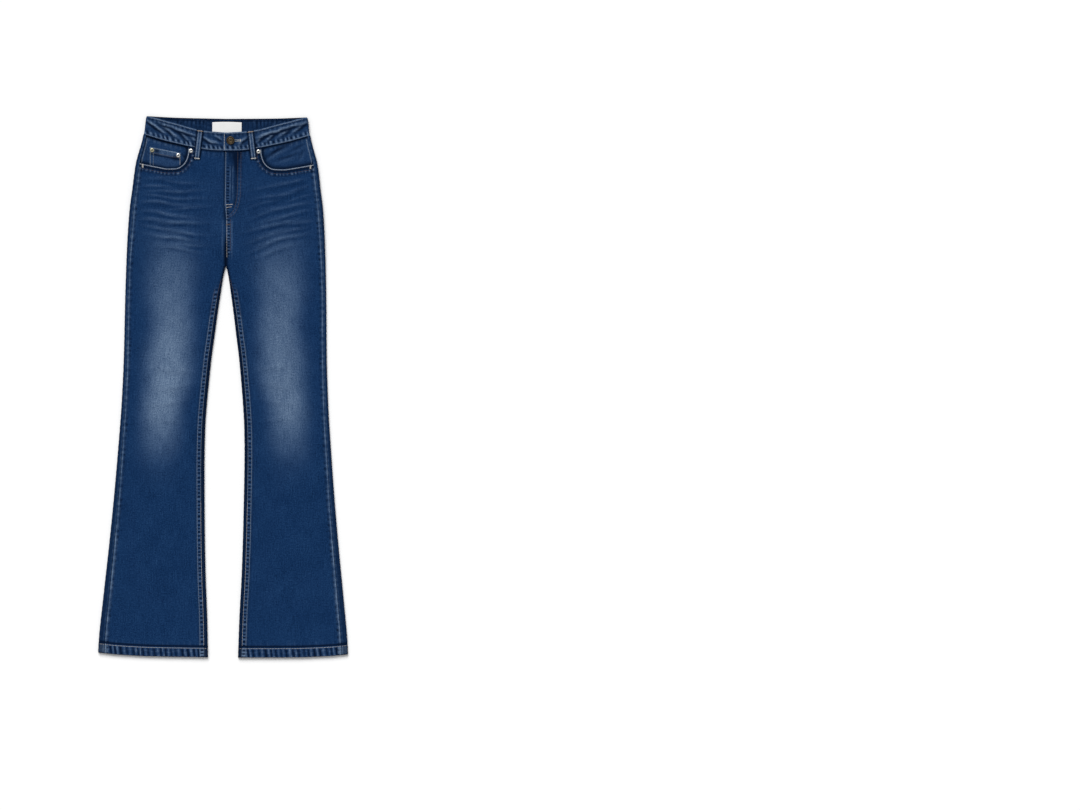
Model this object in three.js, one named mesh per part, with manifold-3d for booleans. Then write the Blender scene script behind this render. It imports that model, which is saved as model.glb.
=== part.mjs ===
// Flared jeans laid flat on their back, front up. Millimetres: +X is the wearer's left, +Y runs up to
// the waist and +Z is up from the surface they lie on. The origin is under the middle of the garment.

import * as THREE from "three";
import { mergeVertices } from "three/addons/utils/BufferGeometryUtils.js";
import Module from "manifold-3d";

const wasm = await Module();
wasm.setup();

// Cloth walls, and the gap between neighbours
const DENIM = 1.2;
const BAND_WALL = 2.0;
const LOOP_WALL = 1.6;
const PATCH_WALL = 1.2;
const LABEL_WALL = 1.0;
const GAP = 0.3;
const INSEAM_GAP = 0.4;

// Levels of the layers that lie on each other
const SEAT_LIFT = PATCH_WALL + GAP;
const BAND_LIFT = LOOP_WALL + GAP;
const LEG_HEIGHT = 5.6;
const SEAT_HEIGHT = 7.8;
const BAND_HEIGHT = 8.2;
const FACING_TOP = SEAT_HEIGHT - DENIM - GAP;
const FLY_RISE = DENIM + GAP;
const OVERLAP_RISE = BAND_WALL + GAP;

// Places up the garment
const WAIST_Y = 512;
const YOKE_Y = 490;
const CROTCH_Y = 255;
const HEM_Y = -565;
const HEM_DEPTH = 20.5;
const HEM_EXTRA = 0.9;

// Fly and waistband ends, where the wearer's left lies over the right
const FLY_EDGE = -3.4;
const FLY_UNDERLAP = 8;
const BAND_EDGE = -7;
const BAND_UNDERLAP = 22;

// Outer fold of the laid garment, which widens from the waist to the hip and from the knee to the hem
const OUTER_FOLD = [
  { y: -568, x: 262.5 },
  { y: -541, x: 261.5 },
  { y: -440, x: 252 },
  { y: -339, x: 241.5 },
  { y: -238, x: 232 },
  { y: -138, x: 224 },
  { y: -37, x: 217 },
  { y: 64, x: 213 },
  { y: 190, x: 211 },
  { y: 291, x: 208 },
  { y: 366, x: 203.7 },
  { y: 417, x: 197.5 },
  { y: 467, x: 191 },
  { y: 518, x: 177.5 },
  { y: 568, x: 168.5 },
];

// Inner fold of a leg below the crotch
const INNER_FOLD = [
  { y: -568, x: 31.5 },
  { y: -490, x: 33.6 },
  { y: -390, x: 38 },
  { y: -289, x: 40.5 },
  { y: -150, x: 42 },
  { y: -87, x: 41 },
  { y: -37, x: 38 },
  { y: 14, x: 33.6 },
  { y: 64, x: 28.6 },
  { y: 114, x: 22 },
  { y: 140, x: 18.8 },
  { y: 190, x: 11.8 },
  { y: 240, x: 4 },
  { y: CROTCH_Y, x: 0 },
];

// How far in from the outer fold the side seam shows on the front
const OUTSEAM_INSET = [
  { y: -560, inset: 14 },
  { y: -270, inset: 11 },
  { y: 0, inset: 8 },
  { y: 240, inset: 7 },
  { y: 350, inset: 9 },
  { y: 440, inset: 9 },
  { y: 527, inset: 6.5 },
];

// How far round from the inner fold the inside leg seam shows on the front
const INSEAM_RUN = [
  { y: -560, run: 8.6 },
  { y: 100, run: 7.4 },
  { y: 190, run: 6.6 },
  { y: 225, run: 3.6 },
  { y: CROTCH_Y, run: 0 },
];

// Edges of the waistband, from the middle out to the side
const FRONT_WAIST_SEAM = [
  { x: 0, y: 495.5 },
  { x: 20, y: 495.5 },
  { x: 40, y: 497 },
  { x: 72, y: 502.5 },
  { x: 105, y: 509.5 },
  { x: 138, y: 517.5 },
  { x: 160, y: 524 },
  { x: 176, y: 529 },
];
const FRONT_TOP_EDGE = [
  { x: 0, y: 534 },
  { x: 40, y: 537 },
  { x: 70, y: 542 },
  { x: 100, y: 550.5 },
  { x: 131, y: 558.5 },
  { x: 149, y: 563.5 },
  { x: 168, y: 567.5 },
];
const BACK_WAIST_SEAM = [
  { x: 0, y: 526 },
  { x: 100, y: 527 },
  { x: 176, y: 529 },
];
const BACK_TOP_EDGE = [
  { x: 0, y: 563 },
  { x: 100, y: 564.5 },
  { x: 168, y: 567.5 },
];
const YOKE_SEAM = [
  { x: 0, y: 473 },
  { x: 60, y: 483 },
  { x: 120, y: 492.5 },
  { x: 185, y: 503 },
];

// Hem edge across a leg, from its inner fold to its outer fold
const HEM_LINE = [
  { share: 0, y: -567.5 },
  { share: 0.5, y: -566.4 },
  { share: 0.83, y: -563 },
  { share: 1, y: -559 },
];

// Edge of the front pocket's scoop on the wearer's right. On the left it starts nearer the middle.
const SCOOP = [
  { x: 80.5, y: 503 },
  { x: 81, y: 491 },
  { x: 85, y: 476 },
  { x: 93, y: 465 },
  { x: 106, y: 458.4 },
  { x: 123, y: 457.8 },
  { x: 146, y: 461.4 },
  { x: 168, y: 465.6 },
  { x: 184, y: 468.8 },
];
const SCOOP_SHIFT = { left: 8, right: 0 };
const CUT_REACH = 4;
const FACING = { inner: 68, bottom: 445, tuck: 1.2 };
const COIN_POCKET = {
  outer: 162, inner: 96.5, outerTop: 503.2, innerTop: 490.8, bottom: 447, hem: 12, hemRise: 0.5,
};

// Corners of a back pocket, clockwise from the inner top one
const BACK_POCKET = [
  { x: 28, y: 449 },
  { x: 48.5, y: 318 },
  { x: 112.8, y: 287 },
  { x: 170.7, y: 327 },
  { x: 170.7, y: 456 },
];

// Belt loops, by where their middle line starts and ends
const LOOP_WIDTH = 12;
const FRONT_LOOPS = [
  { name: "belt_loop_front_left", topX: 49.5, bottomX: 57, bottomY: 478 },
  { name: "belt_loop_front_right", topX: -56, bottomX: -62.6, bottomY: 477 },
];
const BACK_LOOPS = [
  { name: "belt_loop_back_left", topX: 151, bottomX: 155, topY: 565, bottomY: 509 },
  { name: "belt_loop_back_middle", topX: 0, bottomX: 0, topY: 562, bottomY: 507 },
  { name: "belt_loop_back_right", topX: -151, bottomX: -155, topY: 565, bottomY: 509 },
];

const LABEL_BOX = { halfWidth: 30.8, bottom: 529.5, top: 556.7, arch: 1 };

const BUTTON = { x: 8, y: 517.5, radius: 8.75, shank: 1.8, eyelet: 2.2, height: 3.2 };
const BUTTONHOLE_END = 28;
const BUTTONHOLE_HALF = 0.7;
const RIVET = { radius: 4.5, height: 1.4 };
const FRONT_RIVETS = [
  { name: "rivet_pocket_left", x: 66.6, y: 494.8 },
  { name: "rivet_pocket_right", x: -75.2, y: 495.2 },
];
const COIN_RIVETS = [
  { name: "rivet_coin_inner", x: -101.5, y: 485.6 },
  { name: "rivet_coin_outer", x: -156.5, y: 496 },
];

// Largest soft folds on the front: middle, direction in degrees from +X, half length, half width and height
const FOLDS = [
  { x: 62, y: 318, turn: 24, length: 60, width: 11, height: 0.9 },
  { x: 78, y: 352, turn: 16, length: 70, width: 12, height: 0.7 },
  { x: -58, y: 312, turn: 158, length: 58, width: 11, height: 0.9 },
  { x: -84, y: 346, turn: 170, length: 70, width: 12, height: 0.7 },
  { x: 118, y: 150, turn: 86, length: 120, width: 24, height: 0.8 },
  { x: -112, y: 120, turn: 95, length: 130, width: 24, height: 0.8 },
  { x: 92, y: 12, turn: 12, length: 50, width: 14, height: 0.7 },
  { x: -96, y: -2, turn: 166, length: 52, width: 14, height: 0.7 },
  { x: 150, y: -330, turn: 82, length: 150, width: 28, height: 0.9 },
  { x: -156, y: -350, turn: 99, length: 150, width: 28, height: 0.9 },
];

// Points round a quarter of a fold, before they are spaced out in columns
const QUARTER_STEPS = 8;

// Rows of points up each panel. Both panels of a leg share those below the seat.
const LEG_ROWS = [
  368, 350, 336, 322, 308, 290, 272, CROTCH_Y, 249, 240, 230, 216, 198, 170, 130, 85, 35, -20, -80, -150, -220, -290,
  -360, -430, -500, HEM_Y + HEM_DEPTH + 0.4, HEM_Y + HEM_DEPTH, HEM_Y,
];
const FRONT_ROWS = [WAIST_Y, 503, 488, 468, 448, 425, 400, 385, ...LEG_ROWS];
const BACK_ROWS = [YOKE_Y, 478, 462, 440, 415, 390, ...LEG_ROWS];

const COLOURS = {
  denim: new THREE.MeshStandardMaterial({ color: 0x14335c, roughness: 0.9, metalness: 0 }),
  label: new THREE.MeshStandardMaterial({ color: 0xe8e8e6, roughness: 0.8, metalness: 0 }),
  button: new THREE.MeshStandardMaterial({ color: 0x5d4a2c, roughness: 0.45, metalness: 1 }),
  rivet: new THREE.MeshStandardMaterial({ color: 0xc9c9c6, roughness: 0.3, metalness: 1 }),
  brass: new THREE.MeshStandardMaterial({ color: 0x9a8a5e, roughness: 0.4, metalness: 1 }),
};

// A smooth curve through a table that never swings past its rows
function curveThrough(table, at, value) {
  const places = table.map((row) => row[at]);
  const values = table.map((row) => row[value]);
  const slopes = places.slice(1).map((place, i) => (values[i + 1] - values[i]) / (place - places[i]));
  const tangents = places.map((_, i) => {
    if (i === 0) return slopes[0];
    if (i === slopes.length) return slopes[i - 1];
    const [before, after] = [slopes[i - 1], slopes[i]];
    return before * after <= 0 ? 0 : (2 * before * after) / (before + after);
  });
  return (wanted) => {
    const place = THREE.MathUtils.clamp(wanted, places[0], places.at(-1));
    const i = Math.min(Math.max(places.findIndex((other) => other >= place), 1), slopes.length) - 1;
    const step = places[i + 1] - places[i];
    const t = (place - places[i]) / step;
    const rest = 1 - t;
    return values[i] * rest * rest * (1 + 2 * t) + values[i + 1] * t * t * (1 + 2 * rest)
      + step * (tangents[i] * t * rest * rest - tangents[i + 1] * t * t * rest);
  };
}

const outerFold = curveThrough(OUTER_FOLD, "y", "x");
const innerFold = curveThrough(INNER_FOLD, "y", "x");
const outseamInset = curveThrough(OUTSEAM_INSET, "y", "inset");
const inseamRun = curveThrough(INSEAM_RUN, "y", "run");
const frontWaistSeam = curveThrough(FRONT_WAIST_SEAM, "x", "y");
const frontTopEdge = curveThrough(FRONT_TOP_EDGE, "x", "y");
const backWaistSeam = curveThrough(BACK_WAIST_SEAM, "x", "y");
const backTopEdge = curveThrough(BACK_TOP_EDGE, "x", "y");
const yokeSeam = curveThrough(YOKE_SEAM, "x", "y");
const hemLine = curveThrough(HEM_LINE, "share", "y");

const blend = (from, to, value) => THREE.MathUtils.smoothstep(value, from, to);
const mix = THREE.MathUtils.lerp;

// Heights of the floor side and the top side of the laid tube
const lowSide = (y) => SEAT_LIFT * blend(215, 283, y) + (BAND_LIFT - SEAT_LIFT) * blend(470, 502, y);
const highSide = (y) => mix(LEG_HEIGHT, SEAT_HEIGHT, blend(205, 310, y));

// The wearer's left rises over the underlap of the fly and of the waistband
const flyRise = (x, y) => FLY_RISE * blend(322, 348, y) * (1 - blend(12, 45, x));
const bandRise = (x) => OVERLAP_RISE * (1 - blend(28, 66, x));

// Height that the soft folds add to the front, none at its seams
function relief(x, y) {
  const inside = Math.abs(x) - (y < CROTCH_Y ? innerFold(y) : 0);
  const fromMiddle = mix(blend(8, 30, inside), 1, blend(320, 350, y));
  const fromSide = blend(14, 34, outerFold(y) - Math.abs(x));
  const fromEnds = (1 - blend(430, 455, y)) * blend(HEM_Y + HEM_DEPTH, HEM_Y + 3 * HEM_DEPTH, y);
  let height = 0;
  for (const fold of FOLDS) {
    const turn = THREE.MathUtils.degToRad(fold.turn);
    const [dx, dy] = [x - fold.x, y - fold.y];
    const along = (dx * Math.cos(turn) + dy * Math.sin(turn)) / fold.length;
    const across = (dy * Math.cos(turn) - dx * Math.sin(turn)) / fold.width;
    height += fold.height * Math.exp(-along * along - across * across);
  }
  return height * fromMiddle * fromSide * fromEnds;
}

// Points round a quarter of a fold of the laid tube, which bulges towards way. Angle 90 is on top and 0
// outermost.
function quarter(edge, way, y, from, to, roundness = 1) {
  const [low, high] = [lowSide(y), highSide(y)];
  const radius = (high - low) / 2;
  return Array.from({ length: QUARTER_STEPS + 1 }, (_, step) => {
    const angle = THREE.MathUtils.degToRad(mix(from, to, step / QUARTER_STEPS));
    const drop = roundness * radius * (1 - Math.abs(Math.sin(angle)));
    const z = from + to > 0 ? high - drop : low + drop;
    return new THREE.Vector2(edge - way * radius * (1 - Math.cos(angle)), z);
  });
}

// A run of points measured along its length, which gives the place and outward normal at any run
function measured(points) {
  const kept = points.filter((point, i) => i === 0 || point.distanceTo(points[i - 1]) > 1e-6);
  const runs = [0];
  for (let i = 1; i < kept.length; i++) runs.push(runs[i - 1] + kept[i].distanceTo(kept[i - 1]));
  const at = (run) => {
    const i = Math.min(Math.max(runs.findIndex((other) => other > run - 1e-9), 1), kept.length - 1);
    const step = kept[i].clone().sub(kept[i - 1]);
    const place = kept[i - 1].clone().addScaledVector(step, (run - runs[i - 1]) / step.length());
    step.normalize();
    return { x: place.x, z: place.y, nx: -step.y, nz: step.x };
  };
  return { length: runs.at(-1), at };
}

// The centre seam turns in and down towards the crotch, where four seams meet half way up
const seamRoundness = (y) => 1 - blend(CROTCH_Y, 322, y);

function frontEdge(y, side) {
  if (y <= CROTCH_Y) return Math.max(innerFold(y), GAP / 2);
  const past = side > 0 ? FLY_EDGE : -FLY_UNDERLAP;
  return mix(GAP / 2, past, blend(350, 385, y));
}

// Across the front panel: from the fly or inside leg seam to the side seam
function frontAcross(y, side) {
  const edge = frontEdge(y, side);
  const points = quarter(edge, -1, y, 0, 90, seamRoundness(y));
  points.push(new THREE.Vector2(outerFold(y) - outseamInset(y), highSide(y)));
  const path = measured(points);
  const start = inseamRun(y) + INSEAM_GAP / 2;
  return { path, marks: [start, start + 6, path.length], counts: [3, 8] };
}

// Across the back panel: from the side seam round the outer fold, under, and round the inner fold
function backAcross(y) {
  const edge = Math.max(y <= CROTCH_Y ? innerFold(y) : 0, GAP / 2);
  const radius = (highSide(y) - lowSide(y)) / 2;
  const seam = new THREE.Vector2(outerFold(y) - outseamInset(y) + GAP, highSide(y));
  const under = [
    seam, ...quarter(outerFold(y), 1, y, 90, 0), ...quarter(outerFold(y), 1, y, 0, -90),
    ...quarter(edge, -1, y, -90, 0, seamRoundness(y)),
  ];
  const toInnermost = measured(under).length;
  const round = [...under, ...quarter(edge, -1, y, 0, 90), new THREE.Vector2(edge + 20, highSide(y))];
  const end = toInnermost + inseamRun(y) - INSEAM_GAP / 2;
  const foldStart = outseamInset(y) - GAP - radius;
  const marks = [0, foldStart, foldStart + Math.PI * radius, end - 14, end];
  return { path: measured(round), marks, counts: [1, 6, 5, 7] };
}

function columnsOf({ path, marks, counts }) {
  return counts.flatMap((count, part) => {
    const last = part === counts.length - 1 ? 1 : 0;
    return Array.from({ length: count + last }, (_, i) => {
      return path.at(mix(marks[part], marks[part + 1], i / count));
    });
  });
}

// A cloth wall from rows of outer points with normals
function wallPoint(side, point, y, wall, bulge = 0) {
  const rise = bulge * Math.max(point.nz, 0);
  const outer = new THREE.Vector3(side * (point.x + point.nx * rise), y, point.z + point.nz * rise);
  const inner = new THREE.Vector3(side * (point.x - point.nx * wall), y, point.z - point.nz * wall);
  return { outer, inner };
}

// The closed solid between a grid of outer points and the same grid of inner points
function sheetSolid(rows) {
  const [high, wide] = [rows.length, rows[0].length];
  const at = (i, j, layer) => (layer * high + i) * wide + j;
  const index = [];
  const quad = (a, b, c, d) => index.push(a, b, c, a, c, d);
  for (let i = 0; i < high - 1; i++) {
    for (let j = 0; j < wide - 1; j++) {
      quad(at(i, j, 0), at(i, j + 1, 0), at(i + 1, j + 1, 0), at(i + 1, j, 0));
      quad(at(i, j, 1), at(i + 1, j, 1), at(i + 1, j + 1, 1), at(i, j + 1, 1));
    }
  }
  for (let j = 0; j < wide - 1; j++) {
    quad(at(0, j + 1, 0), at(0, j, 0), at(0, j, 1), at(0, j + 1, 1));
    quad(at(high - 1, j, 0), at(high - 1, j + 1, 0), at(high - 1, j + 1, 1), at(high - 1, j, 1));
  }
  for (let i = 0; i < high - 1; i++) {
    quad(at(i, 0, 0), at(i + 1, 0, 0), at(i + 1, 0, 1), at(i, 0, 1));
    quad(at(i + 1, wide - 1, 0), at(i, wide - 1, 0), at(i, wide - 1, 1), at(i + 1, wide - 1, 1));
  }
  const places = ["outer", "inner"].flatMap((layer) => rows.flat().flatMap((p) => p[layer].toArray()));
  const geometry = new THREE.BufferGeometry();
  geometry.setAttribute("position", new THREE.Float32BufferAttribute(places, 3));
  geometry.setIndex(index);
  return volume(geometry) < 0 ? turnedOut(geometry) : geometry;
}

function volume(geometry) {
  const places = geometry.getAttribute("position");
  const corner = (i) => new THREE.Vector3().fromBufferAttribute(places, geometry.index.getX(i));
  let sum = 0;
  for (let i = 0; i < geometry.index.count; i += 3) {
    sum += corner(i).dot(corner(i + 1).cross(corner(i + 2))) / 6;
  }
  return sum;
}

function turnedOut(geometry) {
  const index = Array.from(geometry.index.array);
  for (let i = 0; i < index.length; i += 3) [index[i], index[i + 1]] = [index[i + 1], index[i]];
  geometry.setIndex(index);
  return geometry;
}

function toManifold(geometry) {
  const bare = geometry.clone();
  bare.deleteAttribute("normal");
  bare.deleteAttribute("uv");
  const merged = mergeVertices(bare);
  const vertProperties = new Float32Array(merged.getAttribute("position").array);
  const triVerts = new Uint32Array(merged.index.array);
  return new wasm.Manifold(new wasm.Mesh({ numProp: 3, vertProperties, triVerts }));
}

function cut(geometry, cutter) {
  const mesh = toManifold(geometry).subtract(toManifold(cutter)).getMesh();
  const result = new THREE.BufferGeometry();
  result.setAttribute("position", new THREE.Float32BufferAttribute(mesh.vertProperties, 3));
  result.setIndex(Array.from(mesh.triVerts));
  return result;
}

// A flat plate with the outline of a list of places, between two heights
function plate(outline, low, high) {
  const shape = new THREE.Shape(outline.map(({ x, y }) => new THREE.Vector2(x, y)));
  const geometry = new THREE.ExtrudeGeometry(shape, { depth: high - low, bevelEnabled: false });
  return geometry.translate(0, 0, low);
}

const group = new THREE.Group();

function add(name, geometry, material) {
  const shown = geometry.index ? geometry.toNonIndexed() : geometry;
  shown.computeVertexNormals();
  const mesh = new THREE.Mesh(shown, material);
  mesh.name = name;
  group.add(mesh);
}

const SIDES = [{ side: 1, name: "left" }, { side: -1, name: "right" }];

// Where a row of a panel runs at a point: rows near the waist and the hem follow their curved edges
function rowPlace(nominal, top, topEdge, hem, x) {
  const shift = (topEdge(Math.abs(x)) - GAP / 2 - top) * blend(400, top, nominal);
  return nominal + shift + (hem - HEM_Y) * (1 - blend(HEM_Y, HEM_Y + 3 * HEM_DEPTH, nominal));
}

// A point of a row whose height depends on how far out it is, which depends on its height in turn
function settled(columns, nominal, column, heightAt) {
  let point = columns(nominal)[column];
  for (let turn = 0; turn < 3; turn++) point = columns(heightAt(point))[column];
  return { point, y: heightAt(point) };
}

function panelRows(rows, across, top, topEdge, place) {
  const columns = (y) => columnsOf(across(y));
  return rows.map((nominal) => {
    const extra = nominal <= HEM_Y + HEM_DEPTH + 0.01 ? HEM_EXTRA : 0;
    const [inner, outer] = [innerFold(nominal), outerFold(nominal)];
    return columns(nominal).map((_, column) => {
      const { point, y } = settled(columns, nominal, column, ({ x }) => {
        const hem = hemLine(THREE.MathUtils.clamp((x - inner) / (outer - inner), 0, 1));
        return rowPlace(nominal, top, topEdge, hem, x);
      });
      return place(point, y, extra);
    });
  });
}

function frontPanel(side, name) {
  const rows = panelRows(FRONT_ROWS, (y) => frontAcross(y, side), WAIST_Y, frontWaistSeam, (point, y, extra) => {
    const x = side * point.x;
    const rise = relief(x, y) + (side > 0 ? flyRise(x, y) : 0);
    return wallPoint(side, { ...point, z: point.z + rise }, y, DENIM + extra / 2, extra / 2);
  });
  return cut(sheetSolid(rows), scoopCutter(side, name));
}

// The scoop's edge, drawn on the wearer's left or right
function scoopEdge(side, name) {
  const points = SCOOP.map(({ x, y }) => {
    return new THREE.Vector2(side * (x - SCOOP_SHIFT[name] * (1 - blend(80, 175, x))), y);
  });
  return new THREE.SplineCurve(points).getPoints(28);
}

function scoopCutter(side, name) {
  const edge = scoopEdge(side, name);
  const beyond = [
    { x: side * 230, y: edge.at(-1).y + 8 }, { x: side * 230, y: 560 }, { x: edge[0].x, y: 560 },
  ];
  return plate([...edge, ...beyond], SEAT_HEIGHT - CUT_REACH, SEAT_HEIGHT + CUT_REACH);
}

function backPanel(side) {
  return sheetSolid(panelRows(BACK_ROWS, backAcross, YOKE_Y, yokeSeam, (point, y, extra) => {
    return wallPoint(side, point, y, DENIM + extra / 2, extra / 2);
  }));
}

// The yoke carries on from the back panel up to the waistband
function yoke(side) {
  const columns = (y) => columnsOf({ ...backAcross(y), counts: [1, 6, 5, 2] });
  return sheetSolid([0, 1 / 3, 2 / 3, 1].map((share) => {
    return columns(WAIST_Y).map((_, column) => {
      const { point, y } = settled(columns, WAIST_Y, column, ({ x, nz }) => {
        const top = mix(backWaistSeam(x), frontWaistSeam(x), (nz + 1) / 2);
        return mix(top - GAP / 2, yokeSeam(x) + GAP / 2, share);
      });
      return wallPoint(side, point, y, DENIM);
    });
  }));
}

// The waistband runs from its underlap round the right side, the back and the left side to its overlap
function waistband() {
  const radius = (BAND_HEIGHT - BAND_LIFT) / 2;
  const middle = (BAND_HEIGHT + BAND_LIFT) / 2;
  const rows = [0, 1 / 3, 2 / 3, 1].map((share) => {
    const fold = outerFold(mix(frontWaistSeam(180), frontTopEdge(180), share));
    const flat = fold - radius;
    const across = (from, to, count, nz, level) => Array.from({ length: count }, (_, i) => {
      const x = mix(from, to, i / count);
      return { x, z: level(x), nx: 0, nz };
    });
    const round = (side, from, to) => Array.from({ length: 6 }, (_, i) => {
      const angle = THREE.MathUtils.degToRad(mix(from, to, i / 6));
      const [nx, nz] = [side * Math.cos(angle), Math.sin(angle)];
      return { x: side * flat + radius * nx, z: middle + radius * nz, nx, nz };
    });
    const points = [
      ...across(BAND_UNDERLAP, -flat, 12, 1, () => BAND_HEIGHT),
      ...round(-1, 90, -90),
      ...across(-flat, flat, 14, -1, () => BAND_LIFT),
      ...round(1, -90, 90),
      ...across(flat, BAND_EDGE, 14, 1, (x) => BAND_HEIGHT + bandRise(x)),
      { x: BAND_EDGE, z: BAND_HEIGHT + bandRise(BAND_EDGE), nx: 0, nz: 1 },
    ];
    return points.map((point) => {
      const [facing, out] = [(point.nz + 1) / 2, Math.abs(point.x)];
      const seam = mix(backWaistSeam(out), frontWaistSeam(out), facing) + GAP / 2;
      const y = mix(seam, mix(backTopEdge(out), frontTopEdge(out), facing), share);
      return wallPoint(1, point, y, BAND_WALL);
    });
  });
  return cut(sheetSolid(rows), buttonholeCutter());
}

// A slit with a round end, where the button's shank comes through the overlap
function buttonholeCutter() {
  const round = Array.from({ length: 11 }, (_, i) => {
    const angle = THREE.MathUtils.degToRad(mix(20, 340, i / 10));
    return { x: BUTTON.x + BUTTON.eyelet * Math.cos(angle), y: BUTTON.y + BUTTON.eyelet * Math.sin(angle) };
  });
  const end = [
    { x: BUTTONHOLE_END, y: BUTTON.y - BUTTONHOLE_HALF }, { x: BUTTONHOLE_END, y: BUTTON.y + BUTTONHOLE_HALF },
  ];
  return plate([...round, ...end], BAND_HEIGHT + GAP / 2, BAND_HEIGHT + 2 * OVERLAP_RISE);
}

// The facing shows inside the scoop. It reaches under the front and under the side seam.
function facingPanel(side, top) {
  const rows = [0, 0.35, 0.7, 1].map((share) => {
    return Array.from({ length: 9 }, (_, i) => {
      const place = (y) => mix(FACING.inner, outerFold(y) - outseamInset(y) + FACING.tuck, i / 8);
      const seam = frontWaistSeam(place(frontWaistSeam(place(WAIST_Y))));
      const y = mix(seam - GAP, FACING.bottom, share);
      return wallPoint(side, { x: place(y), z: top, nx: 0, nz: 1 }, y, DENIM);
    });
  });
  return sheetSolid(rows);
}

// The coin pocket lies on the wearer's right facing, and its lower part is under the front
function coinPocket() {
  const { outer, inner, outerTop, innerTop, bottom, hem, hemRise } = COIN_POCKET;
  const rows = [0, hem, hem + 0.6, 60].map((down) => {
    return [0, 0.5, 1].map((share) => {
      const y = Math.max(mix(outerTop, innerTop, share) - down, bottom);
      const z = FACING_TOP + (down <= hem ? hemRise : 0);
      const wall = PATCH_WALL + (down <= hem ? hemRise : 0);
      return wallPoint(-1, { x: mix(outer, inner, share), z, nx: 0, nz: 1 }, y, wall);
    });
  });
  return sheetSolid(rows);
}

// A front loop lies over the waistband and steps down to the panel below it
function frontLoop({ topX, bottomX, bottomY }) {
  const topY = frontTopEdge(Math.abs(topX)) - 0.5;
  const rise = topX > 0 ? bandRise(topX - LOOP_WIDTH / 2) : 0;
  const rows = [0, 0.1, 0.3, 0.5, 0.64, 0.72, 0.8, 0.9, 1].map((share) => {
    const y = mix(topY, bottomY, share);
    const x = mix(topX, bottomX, share);
    const seam = frontWaistSeam(Math.abs(x));
    const under = mix(SEAT_HEIGHT, BAND_HEIGHT + rise, blend(seam - 9, seam - 0.4, y));
    const arch = 0.7 * Math.sin(Math.PI * share);
    return [-0.5, 0, 0.5].map((across) => {
      const point = { x: x + across * LOOP_WIDTH, z: under + GAP + LOOP_WALL + arch, nx: 0, nz: 1 };
      return wallPoint(1, point, y, LOOP_WALL);
    });
  });
  return sheetSolid(rows);
}

function backLoop({ topX, bottomX, topY, bottomY }) {
  const half = LOOP_WIDTH / 2;
  const outline = [
    { x: bottomX - half, y: bottomY }, { x: bottomX + half, y: bottomY },
    { x: topX + half, y: topY }, { x: topX - half, y: topY },
  ];
  return plate(outline, 0, LOOP_WALL);
}

function label() {
  const { halfWidth, bottom, top, arch } = LABEL_BOX;
  const level = BAND_LIFT + BAND_WALL + GAP;
  const upper = [1, 0.5, 0, -0.5, -1].map((share) => {
    return { x: share * halfWidth, y: top - arch * share * share };
  });
  return plate([{ x: -halfWidth, y: bottom }, { x: halfWidth, y: bottom }, ...upper], level, level + LABEL_WALL);
}

// A lathed piece that stands on a level, from a profile of radius and height
function turned(profile, x, y, level, segments) {
  const points = profile.map(([radius, height]) => new THREE.Vector2(radius, height));
  const geometry = new THREE.LatheGeometry(points, segments);
  return geometry.rotateX(Math.PI / 2).translate(x, y, level);
}

function button() {
  const { x, y, radius, shank, height } = BUTTON;
  const profile = [
    [0, -OVERLAP_RISE], [shank, -OVERLAP_RISE], [shank, 0], [radius * 0.86, 0], [radius, 0.7], [radius, 1.5],
    [radius * 0.93, height - 0.4], [radius * 0.82, height], [radius * 0.7, height - 0.5],
    [radius * 0.45, height - 0.8], [0, height - 0.7],
  ];
  return turned(profile, x, y, BAND_HEIGHT + OVERLAP_RISE + GAP, 24);
}

function rivet({ x, y }, level) {
  const { radius, height } = RIVET;
  const profile = [
    [0, 0], [radius, 0], [radius, 0.4], [radius * 0.86, 0.8], [radius * 0.5, 0.9], [radius * 0.36, height],
    [0, height],
  ];
  return turned(profile, x, y, level + GAP, 14);
}

for (const { side, name } of SIDES) {
  const facingTop = side > 0 ? FACING_TOP : FACING_TOP - PATCH_WALL - GAP;
  add(`front_${name}`, frontPanel(side, name), COLOURS.denim);
  add(`back_${name}`, backPanel(side), COLOURS.denim);
  add(`yoke_${name}`, yoke(side), COLOURS.denim);
  add(`pocket_facing_${name}`, facingPanel(side, facingTop), COLOURS.denim);
  const outline = BACK_POCKET.map(({ x, y }) => ({ x: side * x, y }));
  add(`back_pocket_${name}`, plate(outline, 0, PATCH_WALL), COLOURS.denim);
}
add("waistband", waistband(), COLOURS.denim);
add("coin_pocket", coinPocket(), COLOURS.denim);
for (const loop of FRONT_LOOPS) add(loop.name, frontLoop(loop), COLOURS.denim);
for (const loop of BACK_LOOPS) add(loop.name, backLoop(loop), COLOURS.denim);
add("label", label(), COLOURS.label);
add("button", button(), COLOURS.button);
for (const place of FRONT_RIVETS) add(place.name, rivet(place, SEAT_HEIGHT), COLOURS.rivet);
for (const place of COIN_RIVETS) {
  const level = FACING_TOP + COIN_POCKET.hemRise;
  add(place.name, rivet(place, level), place.name === "rivet_coin_outer" ? COLOURS.brass : COLOURS.rivet);
}

export default group;
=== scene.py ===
"""Flared jeans laid flat with the front up: the cloth, its stitching and metalware, and a pale stage.

Sizes are in millimetres until a mesh is made, and then in metres. +X is the wearer's left, +Y runs up to
the waist and +Z is up from the surface that the jeans lie on."""

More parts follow.
